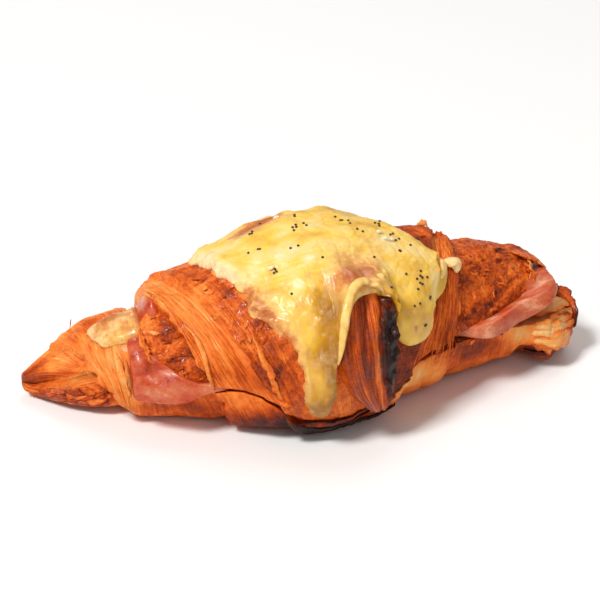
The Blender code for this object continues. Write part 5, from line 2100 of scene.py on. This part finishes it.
class CROISSANT_OT_flakes(bpy.types.Operator):
    """Builds the strands, scales and torn flakes of the crust"""

    bl_idname = "croissant.flakes"
    bl_label = "Flakes"

    def execute(self, context):
        flakes(context.scene.croissant)
        return {"FINISHED"}


class CROISSANT_OT_ham(bpy.types.Operator):
    """Builds the two slices of folded ham"""

    bl_idname = "croissant.ham"
    bl_label = "Ham"

    def execute(self, context):
        ham_slice("folded_ham_left", LEFT_HAM, "ham_left", context.scene.croissant)
        ham_slice("folded_ham_right", RIGHT_HAM, "ham_right", context.scene.croissant)
        return {"FINISHED"}


class CROISSANT_OT_cheese_slice(bpy.types.Operator):
    """Builds the slice of cheese on the left ham"""

    bl_idname = "croissant.cheese_slice"
    bl_label = "Cheese slice"

    def execute(self, context):
        cheese_slice(context.scene.croissant)
        return {"FINISHED"}


class CROISSANT_OT_melted_cheese(bpy.types.Operator):
    """Builds the cheese melted over the back"""

    bl_idname = "croissant.melted_cheese"
    bl_label = "Melted cheese"

    def execute(self, context):
        melted_cheese(context.scene.croissant)
        return {"FINISHED"}


class CROISSANT_OT_seeds(bpy.types.Operator):
    """Scatters poppy and sesame seeds on the melted cheese"""

    bl_idname = "croissant.seeds"
    bl_label = "Seeds"

    def execute(self, context):
        seeds(context.scene.croissant)
        return {"FINISHED"}


class CROISSANT_OT_stage(bpy.types.Operator):
    """Sets the floor, the lights and the camera"""

    bl_idname = "croissant.stage"
    bl_label = "Stage"

    def execute(self, context):
        stage(context.scene.croissant)
        return {"FINISHED"}


OPERATORS = (
    CROISSANT_OT_lower_half,
    CROISSANT_OT_upper_half,
    CROISSANT_OT_flakes,
    CROISSANT_OT_ham,
    CROISSANT_OT_cheese_slice,
    CROISSANT_OT_melted_cheese,
    CROISSANT_OT_seeds,
    CROISSANT_OT_stage,
)


class CROISSANT_PT_panel(bpy.types.Panel):
    """Lists the croissant's pieces"""

    bl_label = "Croissant"
    bl_idname = "CROISSANT_PT_panel"
    bl_space_type = "VIEW_3D"
    bl_region_type = "UI"
    bl_category = "Croissant"

    def draw(self, context):
        for operator in OPERATORS:
            self.layout.operator(operator.bl_idname)
        for name in CroissantSettings.__annotations__:
            self.layout.prop(context.scene.croissant, name)


def register():
    bpy.utils.register_class(CroissantSettings)
    for operator in OPERATORS:
        bpy.utils.register_class(operator)
    bpy.utils.register_class(CROISSANT_PT_panel)
    bpy.types.Scene.croissant = PointerProperty(type=CroissantSettings)


def unregister():
    del bpy.types.Scene.croissant
    bpy.utils.unregister_class(CROISSANT_PT_panel)
    for operator in reversed(OPERATORS):
        bpy.utils.unregister_class(operator)
    bpy.utils.unregister_class(CroissantSettings)


def main():
    register()
    for operator in OPERATORS:
        getattr(bpy.ops.croissant, operator.bl_idname.split(".")[1])()


if __name__ == "__main__":
    main()
